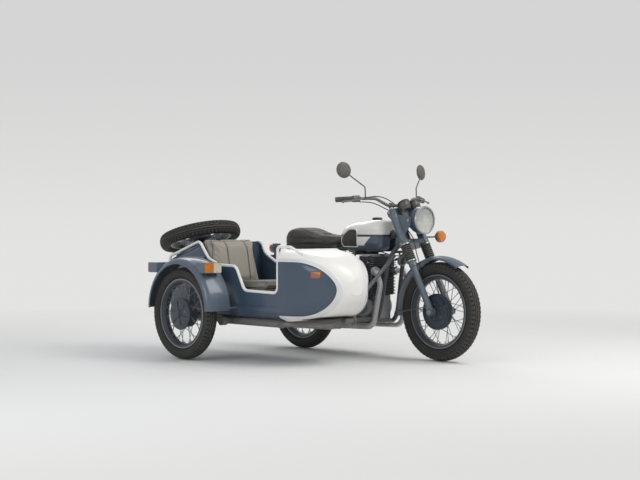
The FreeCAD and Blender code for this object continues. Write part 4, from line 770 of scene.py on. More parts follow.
def smooth_path(corners, steps=8):
    """A soft curve through corners, by Catmull and Rom's rule."""
    ends = [corners[0] * 2 - corners[1]] + list(corners) + [corners[-1] * 2 - corners[-2]]
    path = []
    for a, b, c, d in zip(ends, ends[1:], ends[2:], ends[3:]):
        for step in range(steps):
            t = step / steps
            path.append(0.5 * ((2 * b) + (c - a) * t + (2 * a - 5 * b + 4 * c - d) * t * t
                               + (3 * b - a - 3 * c + d) * t ** 3))
    return path + [corners[-1].copy()]


print("the tray has", ", ".join(name for name in vars(Batch) if not name.startswith("_")))


# %% [markdown]
# ## Tyres
# A touring tyre has a ribbed tread: zigzag grooves run round the crown and short slots cut the
# shoulders into blocks. A texture can't make the blocks stand up at the outline, so the tread is
# real geometry. The mesh's own columns follow the zigzag, which keeps each groove's edge crisp
# with few faces.

# %% The section of a tyre, and its grooves
def arc_points(start, through, end, count):
    """Points along the circle through three (along, radius) places, without the first one."""
    ax, ay = start
    bx, by = through
    cx, cy = end
    d = 2 * (ax * (by - cy) + bx * (cy - ay) + cx * (ay - by))
    aa, bb, cc = ax * ax + ay * ay, bx * bx + by * by, cx * cx + cy * cy
    ux = (aa * (by - cy) + bb * (cy - ay) + cc * (ay - by)) / d
    uy = (aa * (cx - bx) + bb * (ax - cx) + cc * (bx - ax)) / d
    radius = math.hypot(ax - ux, ay - uy)
    first = math.atan2(ay - uy, ax - ux)
    last = math.atan2(cy - uy, cx - ux)
    sweep = (last - first + math.pi) % (2 * math.pi) - math.pi
    turns = [first + sweep * k / count for k in range(1, count + 1)]
    return [(ux + radius * math.cos(turn), uy + radius * math.sin(turn)) for turn in turns]


# half of the tread: place across in mm, depth below the crown, share of the zigzag, share of a slot
tread_columns = [
    (0.0, 0.0, 1, 0), (7.2, 0.0, 1, 0), (8.6, 6.2, 1, 0), (11.6, 6.2, 1, 0), (13.0, 0.0, 1, 0),
    (21.5, 0.0, 1, 0), (22.9, 6.0, 1, 0), (25.4, 6.0, 1, 0), (26.8, 0.3, 1, 0.2), (31.0, 0.3, 0.4, 1),
    (37.0, 0.4, 0, 1), (40.8, 0.8, 0, 1),
]
# how far each of a block's six steps is moved sideways, and how much of a slot it has
zigzag = (-1.0, -0.6, 0.6, 1.0, 0.6, -0.6)
slots = (0.0, 0.0, 0.0, 0.0, 1.0, 1.0)
zigzag_sway = 2.8
slot_depth = 4.5
crown_drop = 13.0
shoulder = 41.2
widest = 49.0
bead_half = 27.0
lip_height = 15.0
print("a tread has", 2 * len(tread_columns) - 1, "columns")


# %% A tyre, one section after another
def tyre_section(outer, bead, wall, step):
    """The (across, radius) points of the tyre's section at one step round it, in mm."""
    slot = slots[step % len(slots)]
    shift = zigzag[step % len(zigzag)] * zigzag_sway
    half = []
    for across, depth, sway, slot_share in tread_columns:
        crown = outer - crown_drop * (across / shoulder) ** 2
        half.append((across, shift * sway, crown - depth - slot_share * slot * slot_depth))
    left = [(-across + moved, radius) for across, moved, radius in reversed(half[1:])]
    right = [(across + moved, radius) for across, moved, radius in half]
    side = []
    for index, (across, radius) in enumerate(wall):
        notch = 1.6 * slot if index < 2 else 0.0
        ridge = 0.7 if index in (5, 10) else 0.0
        side.append((min(across - notch + ridge, widest), radius))
    foot = (bead_half - 0.1, bead + 0.2)
    return ([(-foot[0], foot[1])] + [(-across, radius) for across, radius in reversed(side)]
            + left + right + side + [foot])


def treaded_tyre(name, node, body, outer, bead, axis=crossways, blocks=66):
    """A tyre whose outer surface is cut by the tread; sizes in mm."""
    centre = middle_of(node)
    turn = crossways.rotation_difference(axis)
    around = blocks * len(zigzag)
    # half a millimetre inside the plain tyre, so that no block stands outside it
    outer -= 0.5
    lip = bead + lip_height
    belly = lip + (outer - crown_drop - lip) * 0.52
    wall = arc_points((shoulder, outer - crown_drop), (widest - 0.1, belly), (bead_half, lip), 12)
    vertices = []
    for step in range(around):
        angle = 2 * math.pi * step / around
        section = tyre_section(outer, bead, wall, step)
        for across, radius in section:
            spot = Vector((radius * math.cos(angle), across, radius * math.sin(angle))) * 0.001
            vertices.append(centre + turn @ spot)
    count = len(section)
    faces = [tuple(index % len(vertices) for index in quad) for quad in ring_quads(around + 1, count)]
    tyre = piece(name, vertices, faces, tread_rubber, body, 28.0)
    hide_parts(node)
    return tyre


# %% Tyre rubber, with painted highlights on its edges and painted shade in its grooves
def tread_finish():
    """Black rubber with dust, with painted highlights on the blocks' edges and painted shade, near black, in
    the grooves.
    """
    finish = Finish("tread_rubber")
    fresh = finish.blend(finish.noise(22.0, 6.0), (0.013, 0.013, 0.013), (0.022, 0.0215, 0.021))
    dusty = finish.noise(13.0, 6.0).above(0.5, 0.2) * 0.4
    tone = finish.blend(dusty, fresh, (0.046, 0.043, 0.038))
    corners = finish.corners()
    # painted highlight on the blocks' edges
    tone = finish.blend(corners.above(0.515, 0.03) * 0.6, tone, (0.090, 0.087, 0.080))
    # painted shade, near black, down in the grooves
    tone = finish.blend(corners.below(0.485, 0.03) * 0.85, tone, (0.005, 0.005, 0.005))
    return finish.surface(base_color=tone, roughness=0.62 + finish.noise(40.0) * 0.16,
                          specular_ior_level=0.28, normal=finish.bump(finish.noise(420.0, 3.0), 0.00025, 0.5))


tread_rubber = tread_finish()
front_radius, front_bead = 340.0, 241.0
rear_radius, rear_bead = 319.0, 228.5
spare_radius, spare_bead = 300.0, 212.0
tyres = [
    treaded_tyre("front_tyre_tread", "front_tyre", "front_wheel", front_radius, front_bead),
    treaded_tyre("rear_tyre_tread", "rear_tyre", "rear_wheel", rear_radius, rear_bead),
    treaded_tyre("sidecar_tyre_tread", "sidecar_tyre", "sidecar_wheel", rear_radius, rear_bead),
    treaded_tyre("spare_tyre_tread", "spare_tyre", "trunk_lid", spare_radius, spare_bead, spare_axis, 62),
]
print("tyres:", {tyre.name: len(tyre.data.polygons) for tyre in tyres})


# %% [markdown]
# ## Wheel fittings
# Each spoke is held at the rim by a nipple, and each tyre is filled through a valve. They are
# tiny, but the light catches them all round the rim, so they are worth their few faces.

# %% Nipples and valves
spoke_count = 36


def wheel_fittings(name, node, body, bead, axis=crossways):
    """A nipple for each spoke, and one valve."""
    centre = middle_of(node)
    turn = crossways.rotation_difference(axis)
    batch = Batch()
    well = bead - 20.0
    for index, out in enumerate(rays(spoke_count)):
        sideways = 6.0 if index % 2 == 0 else -6.0
        foot = centre + turn @ ((out * (well - 13.0) + crossways * sideways) * 0.001)
        batch.turned([(0.0021, 0), (0.0037, 0.0008), (0.0037, 0.009), (0.0044, 0.013)], foot, turn @ out, 8)
    out = ray(40.107)
    valve = [(0.002, 0), (0.0038, 0.001), (0.0038, 0.010), (0.003, 0.011), (0.003, 0.028),
             (0.006, 0.0285), (0.006, 0.031)]
    batch.turned(valve, centre + turn @ (out * (well - 30.0) * 0.001), turn @ out, 12)
    return batch.done(name, bright_steel, body)


wheel_fittings("front_wheel_fittings", "front_rim", "front_wheel", front_bead)
wheel_fittings("rear_wheel_fittings", "rear_rim", "rear_wheel", rear_bead)
wheel_fittings("sidecar_wheel_fittings", "sidecar_rim", "sidecar_wheel", rear_bead)
wheel_fittings("spare_wheel_fittings", "spare_rim", "trunk_lid", spare_bead, spare_axis)
print("four wheels have their nipples and valves")

# %% The hub cover's bolts and star
outward = -crossways
cover_face = middle_of("hub_cover")
cover_face.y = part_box("hub_cover")[0].y
hub_batch = Batch()
for out in rays(6, 0.25):
    hub_batch.bolt(cover_face + out * 0.072 - outward * 0.0088, outward, 0.0052)
hub_batch.done("hub_cover_bolts", dull_fasteners, "sidecar_wheel")
star = Batch()
star.turned([(0.0235, 0.0000), (0.0235, 0.0030), (0.0200, 0.0050), (0.0005, 0.0060)], cover_face, outward, 36)
for out in rays(6, 0.75):
    star.block(cover_face + out * 0.056 - outward * 0.0068, (0.028, 0.0030, 0.0038),
               ray(0).rotation_difference(out))
star.turned([(0.1050, -0.001), (0.1040, 0.0016), (0.0990, 0.0016), (0.0980, -0.001)],
            cover_face - outward * 0.0150, outward, 72)
star.done("hub_cover_star", drum_paint, "sidecar_wheel")
print("the hub cover has", len(star.faces), "faces of raised work")

# %% The front brake plate and drum
front_axle = at(1390, 0, front_radius)
drum_face = front_axle + outward * 0.050
plate_rings = Batch()
plate_rings.turned([(0.1060, -0.0002), (0.1050, 0.0034), (0.1000, 0.0038), (0.0985, 0.0004), (0.0700, 0.0004),
                    (0.0690, 0.0032), (0.0640, 0.0036), (0.0625, 0.0004), (0.0420, 0.0004), (0.0400, 0.0050),
                    (0.0330, 0.0062)], drum_face, outward, 72)
for degrees in (20, 52):
    out = ray(degrees)
    plate_rings.block(drum_face + out * 0.084 + outward * 0.0045, (0.0130, 0.0045, 0.0200),
                      ray(0).rotation_difference(out))
plate_rings.done("brake_plate_rings", drum_paint, "steering", 30)
plate_bolts = Batch()
for out in rays(5, 0.45):
    plate_bolts.bolt(drum_face + out * 0.0525 + outward * 0.0006, outward, 0.0046)
plate_bolts.done("brake_plate_bolts", dull_fasteners, "steering")
drum_ribs = Batch()
for y in (-0.046, -0.038, -0.030):
    drum_ribs.turned([(0.1218, -0.0016), (0.1242, -0.0010), (0.1242, 0.0010), (0.1218, 0.0016)],
                     front_axle + crossways * y, crossways, 72)
drum_ribs.done("drum_ribs", drum_paint, "front_wheel", 30)
print("the brake has its plate and ribs")


# %% [markdown]
# ## Stuffed pieces
# A seat is foam in a tight cover, so its faces swell and its edges pull in. A block with rounded
# corners never looks like that. Here the solid seat is wrapped in an even skin of small faces,
# and a cloth simulation blows it up a little, as a pump would. The cap keeps the swelling within
# what foam does, and the underside is held, because it rests on its board.

# %% Wrap, blow up and cap
def with_modifier_applied(thing):
    """The thing's mesh becomes what its modifiers make of it, and the modifiers go."""
    depsgraph = bpy.context.evaluated_depsgraph_get()
    shaped = bpy.data.meshes.new_from_object(thing.evaluated_get(depsgraph))
    thing.modifiers.clear()
    thing.data = shaped
    return shaped


blow_frames = 20


def blown_up(thing, pinned):
    """Runs the cloth simulation with pressure inside, while the pinned vertices stay."""
    thing.vertex_groups.new(name="held").add(pinned, 1.0, "REPLACE")
    cloth = thing.modifiers.new("stuffing", "CLOTH")
    cloth.settings.use_pressure = True
    cloth.settings.uniform_pressure_force = 4.0
    cloth.settings.effector_weights.gravity = 0.0
    cloth.settings.vertex_group_mass = "held"
    cloth.point_cache.frame_end = blow_frames
    for frame_number in range(1, blow_frames + 1):
        bpy.context.scene.frame_set(frame_number)
    skin = with_modifier_applied(thing)
    thing.vertex_groups.clear()
    bpy.context.scene.frame_set(1)
    return skin


def plumped(name, node, material, cap, held, voxel=0.008):
    """A padded copy of a node; held(place) tells what the pressure may not move."""
    thing = stood(name, nodes[node].data.copy())
    wrap = thing.modifiers.new("even_skin", "REMESH")
    wrap.mode = "VOXEL"
    wrap.voxel_size = voxel
    skin = with_modifier_applied(thing)
    normals = [vertex.normal.copy() for vertex in skin.vertices]
    for vertex, normal in zip(skin.vertices, normals):
        vertex.co -= normal * (0.0005 if held(vertex.co) else cap * 0.35)
    start = [vertex.co.copy() for vertex in skin.vertices]
    skin = blown_up(thing, [index for index, place in enumerate(start) if held(place)])
    farthest = 0.0
    for vertex, place in zip(skin.vertices, start):
        push = vertex.co - place
        if push.length > cap:
            push = push.normalized() * cap
        vertex.co = place + push
        farthest = max(farthest, push.length)
    finer = thing.modifiers.new("finer", "SUBSURF")
    finer.levels = finer.render_levels = 1
    skin = with_modifier_applied(thing)
    skin.materials.clear()
    skin.materials.append(material)
    skin.shade_smooth()
    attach(thing, "chassis")
    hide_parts(node)
    print(name, len(skin.polygons), "faces, swelled by", round(farthest * 1000, 1), "mm")
    return thing


def stitched(thing, distance, depth, width):
    """Pulls a channel into the skin where distance(place) is small."""
    skin = thing.data
    normals = [vertex.normal.copy() for vertex in skin.vertices]
    for vertex, normal in zip(skin.vertices, normals):
        away = distance(vertex.co)
        if away is not None and abs(away) < width * 3:
            vertex.co -= normal * depth * math.exp(-(away / width) ** 2)
    skin.update()


def skin_of(thing):
    """A thing's surface as a tree that can be asked where a ray meets it."""
    mesh = thing.data
    return BVHTree.FromPolygons([vertex.co for vertex in mesh.vertices],
                                [tuple(face.vertices) for face in mesh.polygons])


def seam_line(skin, origins, direction, lift=0.0):
    """Where rays from the origins meet a skin; direction is one way, or a function of the origin."""
    found = []
    for origin in origins:
        way = direction(origin) if callable(direction) else Vector(direction)
        place, normal, _, _ = skin.ray_cast(origin, way.normalized())
        if place is not None:
            found.append(place + normal * lift)
    return found


def belt(thing, height, half_x, half_y, centre):
    """A closed line round an upright piece at one height."""
    reach, corner, count = 0.2, 0.06, 96
    origins = []
    for step in range(count):
        angle = 2 * math.pi * step / count
        cosine, sine = math.cos(angle), math.sin(angle)
        share = max(abs(cosine), abs(sine))
        square = Vector((cosine / share * (half_x + reach), sine / share * (half_y + reach), 0))
        round_off = 1 - corner * abs(cosine * sine) * 2
        origins.append(Vector((centre.x, centre.y, height)) + square * round_off)

    def inward(origin):
        x_room = max(-half_x * 0.9, min(half_x * 0.9, origin.x - centre.x))
        y_room = max(-half_y * 0.9, min(half_y * 0.9, origin.y - centre.y))
        goal = Vector((centre.x + x_room * 0.8, centre.y + y_room * 0.8, origin.z))
        return goal - origin

    line = seam_line(skin_of(thing), origins, inward, 0.001)
    return line + line[:2]


print("padding runs")


# %% [markdown]
# ## The three seats
# The rider's seat has a pleated top with a strap across it. The sidecar has a deep cushion
# and a back with two upright seams, both edged with piping, which is a cord sewn into the seam.

# %% The rider's seat
seat_low, seat_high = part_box("dual_seat")
seat_middle = (seat_low + seat_high) * 0.5
seat_half = (seat_high - seat_low) * 0.5
rider_seat = plumped("rider_seat", "dual_seat", seat_vinyl, 0.011,
                     lambda place: place.z < seat_low.z + 0.012)
pleat_pitch = 0.045
pleat_count = 10
pleat_half = 0.098


def pleat_gap(place):
    """How far a place on the seat's top is from the nearest cross seam."""
    along = (place.x - seat_low.x - 0.06) / pleat_pitch
    on_top = place.z >= seat_middle.z and abs(place.y - seat_middle.y) <= pleat_half
    if not on_top or not 0 < along < pleat_count + 0.3:
        return None
    return (along - round(along)) * pleat_pitch


def border_gap(place):
    """How far a place on the seat's top is from the seams along its two edges."""
    return abs(place.y - seat_middle.y) - pleat_half if place.z > seat_middle.z else None


stitched(rider_seat, pleat_gap, 0.0042, 0.0055)
stitched(rider_seat, border_gap, 0.0035, 0.005)

# %% The seat's piping, the skirt of its pan and its strap
seat_trim = Batch()
for height in (seat_low.z + 0.022, seat_low.z + 0.058):
    seat_trim.tube(belt(rider_seat, height, seat_half.x, seat_half.y, seat_middle), 0.0032)
seat_trim.done("rider_seat_piping", piping_vinyl, "chassis")
pan = Batch()
pan_outline = [(-88, 100), (-76, 118), (-40, 124), (120, 126), (250, 121), (380, 114), (440, 100), (452, 84)]
pan_section = [(790, 4), (784, 0), (748, 2), (744, 6), (744, 9), (784, 6)]
for side in (1, -1):
    places = [at(x, side * (half - inset), z) for x, half in pan_outline for z, inset in pan_section]
    first = tuple(range(len(pan_section)))
    last = tuple(range(len(places) - len(pan_section), len(places)))
    quads = ring_quads(len(pan_outline), len(pan_section))
    pan.add(places, [quad[::side] for quad in quads] + [first, last])
pan.done("seat_pan_skirt", black_plastic, "chassis", 50)
strap = Batch()
rider_skin = skin_of(rider_seat)
for offset in (-0.014, -0.007, 0.0, 0.007, 0.014):
    goal = Vector((seat_low.x + 1.2 * seat_half.x + offset, seat_middle.y, seat_middle.z))
    over = [Vector((goal.x, seat_middle.y + share / 14 * (seat_half.y + 0.05), seat_high.z + 0.1))
            for share in range(-14, 15)]
    strap.tube(seam_line(rider_skin, over, lambda origin: goal - origin, 0.0012), 0.0042, 8)
strap.done("rider_seat_strap", black_rubber, "chassis")
print("the rider's seat has", len(strap.faces), "faces of strap")

# %% The sidecar's cushion
pad_low, pad_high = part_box("seat_cushion")
pad_middle = (pad_low + pad_high) * 0.5
pad_half = (pad_high - pad_low) * 0.5
back_low, back_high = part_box("seat_back")
side_cushion = plumped("sidecar_cushion", "seat_cushion", cushion_vinyl, 0.022,
                       lambda place: place.z < pad_low.z + 0.02 or place.x < back_high.x + 0.02, 0.009)


def front_seam(place):
    """How far a place on the cushion's top is from the seam behind its front edge."""
    return place.x - pad_high.x + 0.085 if place.z > pad_middle.z else None


stitched(side_cushion, front_seam, 0.006, 0.009)
pad_trim = Batch()
for height in (pad_low.z + 0.020, pad_high.z - 0.034):
    pad_trim.tube(belt(side_cushion, height, pad_half.x, pad_half.y, pad_middle), 0.0038)
pad_trim.done("sidecar_cushion_piping", cushion_piping, "chassis")
print("the cushion is piped")

# %% The sidecar's back, with its two upright seams
back_middle = (back_low + back_high) * 0.5
side_back = plumped("sidecar_back", "seat_back", sidecar_vinyl, 0.016,
                    lambda place: place.z < back_low.z + 0.02 or place.x < back_low.x + 0.012)
seam_at = (back_middle.y - 0.071, back_middle.y + 0.110)


def back_seam(place):
    """How far a place on the back is from the nearer upright seam."""
    return min((place.y - y for y in seam_at), key=abs)


stitched(side_back, back_seam, 0.008, 0.011)
back_skin = skin_of(side_back)
back_trim = Batch()
for y in seam_at:
    front = [Vector((back_high.x + 0.3, y, back_low.z + 0.03 + 0.27 * share / 20)) for share in range(21)]
    over = [Vector((back_high.x + 0.3 - 0.04 * share, y, back_high.z + 0.05 + 0.04 * share))
            for share in range(1, 7)]
    goal = Vector((back_middle.x, y, back_high.z - 0.07))
    back_trim.tube(seam_line(back_skin, front, (-1, 0, 0), 0.0015)
                   + seam_line(back_skin, over, lambda origin: goal - origin, 0.0015), 0.0034)

# %% The piping round the back's front face, which leans
lean = 0.197
edge_steps = 22
edge_rise = 0.0115


def up_the_edge(y):
    """Places beside the back's front edge, from its foot to its top."""
    heights = [0.03 + step * edge_rise for step in range(edge_steps)]
    return [Vector((back_high.x - height * lean - 0.024, y, back_low.z + height)) for height in heights]


top_x = back_high.x - (back_high.z - back_low.z) * lean - 0.026
over = [Vector((top_x, back_low.y + (back_high.y - back_low.y) * share / 30, back_high.z + 0.3))
        for share in range(1, 30)]
back_trim.tube(seam_line(back_skin, up_the_edge(back_low.y - 0.3), (0, 1, 0), 0.001)
               + seam_line(back_skin, over, (0, 0, -1), 0.001)
               + seam_line(back_skin, up_the_edge(back_high.y + 0.3)[::-1], (0, -1, 0), 0.001), 0.0034)
back_trim.done("sidecar_back_piping", sidecar_piping, "chassis")
print("three seats are stuffed, stitched and piped")


# %% [markdown]
# ## Lamps and instruments
# A headlamp is a plated ring round a moulded glass: upright flutes spread the beam and a rounder
# patch in the middle throws it far. The flutes are modelled, since they break up every
# reflection. The two instruments get a printed face with a glossy coat, and a needle each.

# %% The headlamp's ring
lamp_middle = at(1190, 0, 965)
lamp_batch = Batch()
lamp_batch.turned([(0.0955, 0.040), (0.0985, 0.042), (0.0998, 0.047), (0.0985, 0.053), (0.0945, 0.0575),
                   (0.0885, 0.0585), (0.0868, 0.056), (0.0868, 0.048)], lamp_middle, (1, 0, 0), 72)
lamp_batch.block(lamp_middle + Vector((0.047, 0, -0.098)), (0.006, 0.008, 0.004))
lamp_batch.screw(lamp_middle + Vector((0.046, 0, -0.1015)), (0, 0, -1), 0.0042)
for side in (1, -1):
    lamp_batch.bolt(lamp_middle + Vector((-0.006, side * 0.1098, 0)), (0, side, 0), 0.0072)
lamp_batch.done("headlamp_ring", bright_steel, "steering", 30)
print("the headlamp's ring has", len(lamp_batch.faces), "faces")

# %% The headlamp's fluted glass
glass_radius = 0.087
flute_wide = 0.0088


def fluted_glass():
    """A domed glass whose back carries the flutes, seen here as ripples of its front."""
    rows, columns = 26, 144
    radius = glass_radius
    vertices = []
    for row in range(rows + 1):
        r = radius * row / rows
        for column in range(columns):
            angle = 2 * math.pi * column / columns
            y, z = r * math.cos(angle), r * math.sin(angle)
            dome = 0.050 + 0.012 * (1 - (r / radius) ** 2)
            middle = math.hypot(y / 0.030, z / 0.022) < 1
            pitch = 0.0052 if middle else flute_wide
            if z > 0.034 or z < -0.040:
                pitch = 0.013
            fade = 1.0 - (r / radius) ** 8
            ripple = 0.00085 * math.cos(2 * math.pi * y / pitch) * fade
            band = -0.0007 if abs(abs(z + 0.003) - 0.037) < 0.002 else 0.0
            vertices.append(lamp_middle + Vector((dome + ripple + band - 0.0009, y, z)))
    faces = [(near, above, beyond, beside) for near, beside, beyond, above in ring_quads(rows + 1, columns)]
    return piece("headlamp_glass", vertices, faces, glass_finish, "steering", 60)


def painted_reflection_glass():
    """Glass over a silvered bowl, with the bowl's reflection painted on: bright below, where it would show
    the floor, and darker above, with a painted bulb highlight and painted shade along the flutes.
    """
    finish = Finish("painted_reflection_glass")
    x, y, z = finish.axes(finish.place())
    height = (z - (lamp_middle.z - 0.09)) / 0.18
    across = abs(y - lamp_middle.y) / 0.09
    flute_shade = (y * (2 * math.pi / flute_wide)).wave()
    # painted reflection: brighter below, darker above
    tone = finish.blend(height, (0.66, 0.66, 0.60), (0.36, 0.37, 0.36))
    # painted highlight of the bulb in the middle
    bulb_highlight = (1 - across * across * 9 - (height - 0.5) * (height - 0.5) * 26).above(0.1, 0.5)
    tone = finish.blend(bulb_highlight * 0.45, tone, (0.78, 0.77, 0.71))
    # painted shade along each flute
    tone = finish.blend(flute_shade.above(0.3, 0.6) * 0.25, tone, (0.28, 0.29, 0.28))
    return finish.surface(base_color=tone, metallic=0.35, roughness=0.13 + finish.noise(30.0) * 0.05,
                          coat_weight=1.0, coat_roughness=0.03)


glass_finish = painted_reflection_glass()
headlamp_glass = fluted_glass()
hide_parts("headlamp_lens")
print("the glass has", len(headlamp_glass.data.polygons), "faces")

# %% Dials
pod_tilt = math.radians(125)
pod_axis = Vector((math.cos(pod_tilt), 0, math.sin(pod_tilt)))
pod_up = Vector((math.sin(pod_tilt), 0, -math.cos(pod_tilt)))


def dial_finish(name, middle, sweep_from, sweep_to, marks):
    """A black face with pale divisions round its rim; the marks are counted by angle."""
    finish = Finish(name)
    offset = finish.vectors("SUBTRACT", finish.place(), middle)
    up = finish.vectors("DOT_PRODUCT", offset, pod_up, 1)
    side = finish.vectors("DOT_PRODUCT", offset, crossways, 1)
    radius = finish.vectors("LENGTH", offset, output=1)
    angle = side.maths("ARCTAN2", side, up)
    turn = (angle - sweep_from) / (sweep_to - sweep_from) * marks
    tick = (turn * (2 * math.pi)).crest().above(0.86, 0.06)
    ring = radius.between(0.0285, 0.0335, 0.0004)
    inside = turn.between(-0.08, marks + 0.08, 0.01)
    dashes = (turn * math.pi).crest().above(0.955, 0.02) & radius.between(0.0215, 0.0262, 0.0005)
    ink = (tick & ring & inside) | (dashes & inside)
    face = finish.blend(ink, (0.012, 0.012, 0.013), (0.72, 0.72, 0.68))
    return finish.surface(base_color=face, roughness=0.35, coat_weight=1.0, coat_roughness=0.04)


dial_rims = Batch()
needles = Batch()
for side, name, marks, swing in ((1, "speed", 10, -118), (-1, "revs", 8, -124)):
    middle = at(1094, side * 50, 1064) + pod_axis * 0.0275
    ink = dial_finish(name + "_dial", middle, -2.2, 2.2, marks)
    face = Batch()
    face.turned([(0.0385, -0.001), (0.0385, 0.0), (0.0005, 0.0)], middle, pod_axis, 48)
    face.done(name + "_face", ink, "steering")
    dial_rims.turned([(0.0385, -0.001), (0.0405, 0.0035), (0.0432, 0.0042), (0.0452, 0.001), (0.0457, -0.004),
                      (0.0450, -0.012), (0.0444, -0.014)], middle, pod_axis, 60)
    swing = math.radians(swing)
    tip = (pod_up * math.cos(swing) + crossways * math.sin(swing)) * 0.029
    needles.tube([middle + pod_axis * 0.0018 - tip * 0.2, middle + pod_axis * 0.0018 + tip], 0.0007, 6)
    needles.turned([(0.0042, 0), (0.0042, 0.0028), (0.0034, 0.0036)], middle, pod_axis, 20)
dial_rims.done("instrument_rims", black_plastic, "steering", 40)
needles.done("instrument_needles", needle_paint, "steering")
print("two dials with their needles")


# %% [markdown]
# ## The bar's fittings
# Hands meet the machine here, so this is where small forms count: ribbed grips, the screws of
# the switch housings, mirror glass, and the four cables. Each cable is a curve with a round
# bevel, because a curve keeps one thickness along every bend.

# %% Ribbed grips
rib_count = 17
rib_pitch = 0.0058


def bar_end(side):
    """The bar's tip on one side, and the way along it towards the middle."""
    tip = at(808, side * 440, 1108)
    return tip, (at(895, side * 300, 1116) - tip).normalized()


ribs = Batch()
for side in (1, -1):
    tip, along = bar_end(side)
    profile = [(0.0105, -0.0030), (0.0160, -0.0028), (0.0178, -0.0010), (0.0190, 0.003), (0.0176, 0.006)]
    for rib in range(rib_count):
        start = 0.0095 + rib * rib_pitch
        profile += [(0.0176, start), (0.0189, start + 0.0012), (0.0189, start + 0.0034),
                    (0.0176, start + 0.0046)]
    profile += [(0.0178, 0.110), (0.0214, 0.1135), (0.0222, 0.1165), (0.0214, 0.1205), (0.0172, 0.1222)]
    ribs.turned(profile, tip, along, 28)
ribbed_grips = ribs.done("ribbed_grips", grip_rubber, "steering", 30)
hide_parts("grips")
print("each grip has", rib_count, "ribs")

# %% The bar's small parts
bar_trim = Batch()
switches = Batch()
for side in (1, -1):
    tip, along = bar_end(side)
    for start in (0.128, 0.166):
        bar_trim.turned([(0.0236, -0.0012), (0.0248, -0.0006), (0.0248, 0.0006), (0.0236, 0.0012)],
                        tip + along * start, along, 32)
    pivot = tip + along * 0.1475
    bar_trim.bolt(pivot + Vector((0.032, 0, 0.0105)), (0, 0, 1), 0.0048)
    bar_trim.turned([(0.0065, 0), (0.0065, 0.009), (0.0048, 0.011), (0.0048, 0.014)],
                    pivot + Vector((0.033, -side * 0.009, 0)), Vector((0.25, -side, 0)), 12)
    back = Vector((-1, 0, 0.15)).normalized()
    switches.block(tip + along * 0.143 + back * 0.0235, (0.0028, 0.0075, 0.0035))
    switches.turned([(0.0052, 0), (0.0052, 0.0052), (0.0040, 0.0066)],
                    tip + along * 0.158 + back * 0.0225, back, 18)
    for spot in (0.134, 0.160):
        bar_trim.screw(tip + along * spot - Vector((0, 0, 0.0232)), (0, 0, -1), 0.003)
bar_trim.done("bar_fasteners", bright_steel, "steering")
switches.done("bar_switches", black_plastic, "steering")
print("the bar's fasteners have", len(bar_trim.faces), "faces")

# %% Mirror glass and rims
mirror_rims = Batch()
mirror_glass = Batch()
toe = math.radians(15)
for side in (1, -1):
    facing = Vector((math.cos(toe), side * math.sin(toe), 0.12)).normalized()
    middle = at(840, side * 392, 1315)
    mirror_glass.turned([(0.0525, 0.0086), (0.0525, 0.0098), (0.0005, 0.0100)], middle, -facing, 64)
    mirror_rims.turned([(0.0522, 0.0085), (0.0532, 0.0112), (0.0552, 0.0112), (0.0563, 0.0088),
                        (0.0567, 0.0050), (0.0560, 0.0045)], middle, -facing, 64)
mirror_glass.done("mirror_glass", mirror_silver, "steering")
mirror_rims.done("mirror_rims", black_plastic, "steering", 40)
print("two mirrors are glazed")

# %% Four cables
bar_route = [(904.8, -304.9, 1093.2), (940, -236, 1092), (959, -184, 1075), (977, -138, 1051),
             (993, -103, 1034), (1002, -87, 1024)]
cable_routes = {
    "front_brake_cable": [
        (918.8, -304.9, 1115.2), (977, -238, 1134), (1016, -186, 1126), (1052, -140, 1096),
        (1079, -102, 1056), (1094, -72, 1008), (1102, -56, 952), (1122, -50, 896), (1178, -50, 844),
        (1199, -54, 786), (1218, -60, 730), (1249, -66, 676), (1264, -70, 614), (1272, -70, 552),
        (1281, -66, 496), (1291, -63, 452)],
    "speedometer_cable": [
        (1113.5, 50, 1036.1), (1118, 48, 1002), (1109, 46, 950), (1126, 48, 896), (1179, 50, 842),
        (1201, 54, 786), (1219, 61, 730), (1250, 67, 674), (1265, 70, 612), (1278, 70, 548), (1297, 70, 488),
        (1318, 69, 434), (1339, 66, 386), (1350, 65, 364)],
    "throttle_cable": bar_route,
    "clutch_cable": [(x, -y, z) for x, y, z in bar_route],
}
cable_radius = 0.0035


def cable(name, corners):
    """A black outer cable along the corners of its route."""
    curve = bpy.data.curves.new(name, "CURVE")
    curve.dimensions = "3D"
    curve.bevel_depth = cable_radius
    curve.bevel_resolution = 3
    curve.resolution_u = 8
    curve.use_fill_caps = True
    spline = curve.splines.new("NURBS")
    spline.points.add(len(corners) - 1)
    for point, corner in zip(spline.points, corners):
        point.co = (*at(*corner), 1.0)
    spline.order_u = 3
    spline.use_endpoint_u = True
    curve.materials.append(cable_plastic)
    thing = stood(name, curve)
    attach(thing, "steering")
    return thing


cables = [cable(name, corners) for name, corners in cable_routes.items()]
for thing in cables:
    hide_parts("control_cables")
ferrules = Batch()
for corners in cable_routes.values():
    for end, inner in ((corners[0], corners[1]), (corners[-1], corners[-2])):
        way = (at(*inner) - at(*end)).normalized()
        ferrules.turned([(0.0045, 0), (0.0052, 0.0008), (0.0052, 0.009), (0.0046, 0.010), (0.0046, 0.017),
                         (0.0037, 0.018)], at(*end) + way * 0.001, way, 16)
ferrules.done("cable_ferrules", bright_steel, "steering")
print("four cables with their ferrules")

# %% Fork fittings: clamp bolts, stem nut, drain screws and spindle nut
fork_lean = 28
up_leg = ray(90 + fork_lean)
out_front = ray(fork_lean)


def along_leg(distance, side):
    """A place on the middle of one leg, some millimetres above the front axle."""
    return front_axle + crossways * (side * 0.1) + up_leg * (distance * 0.001)


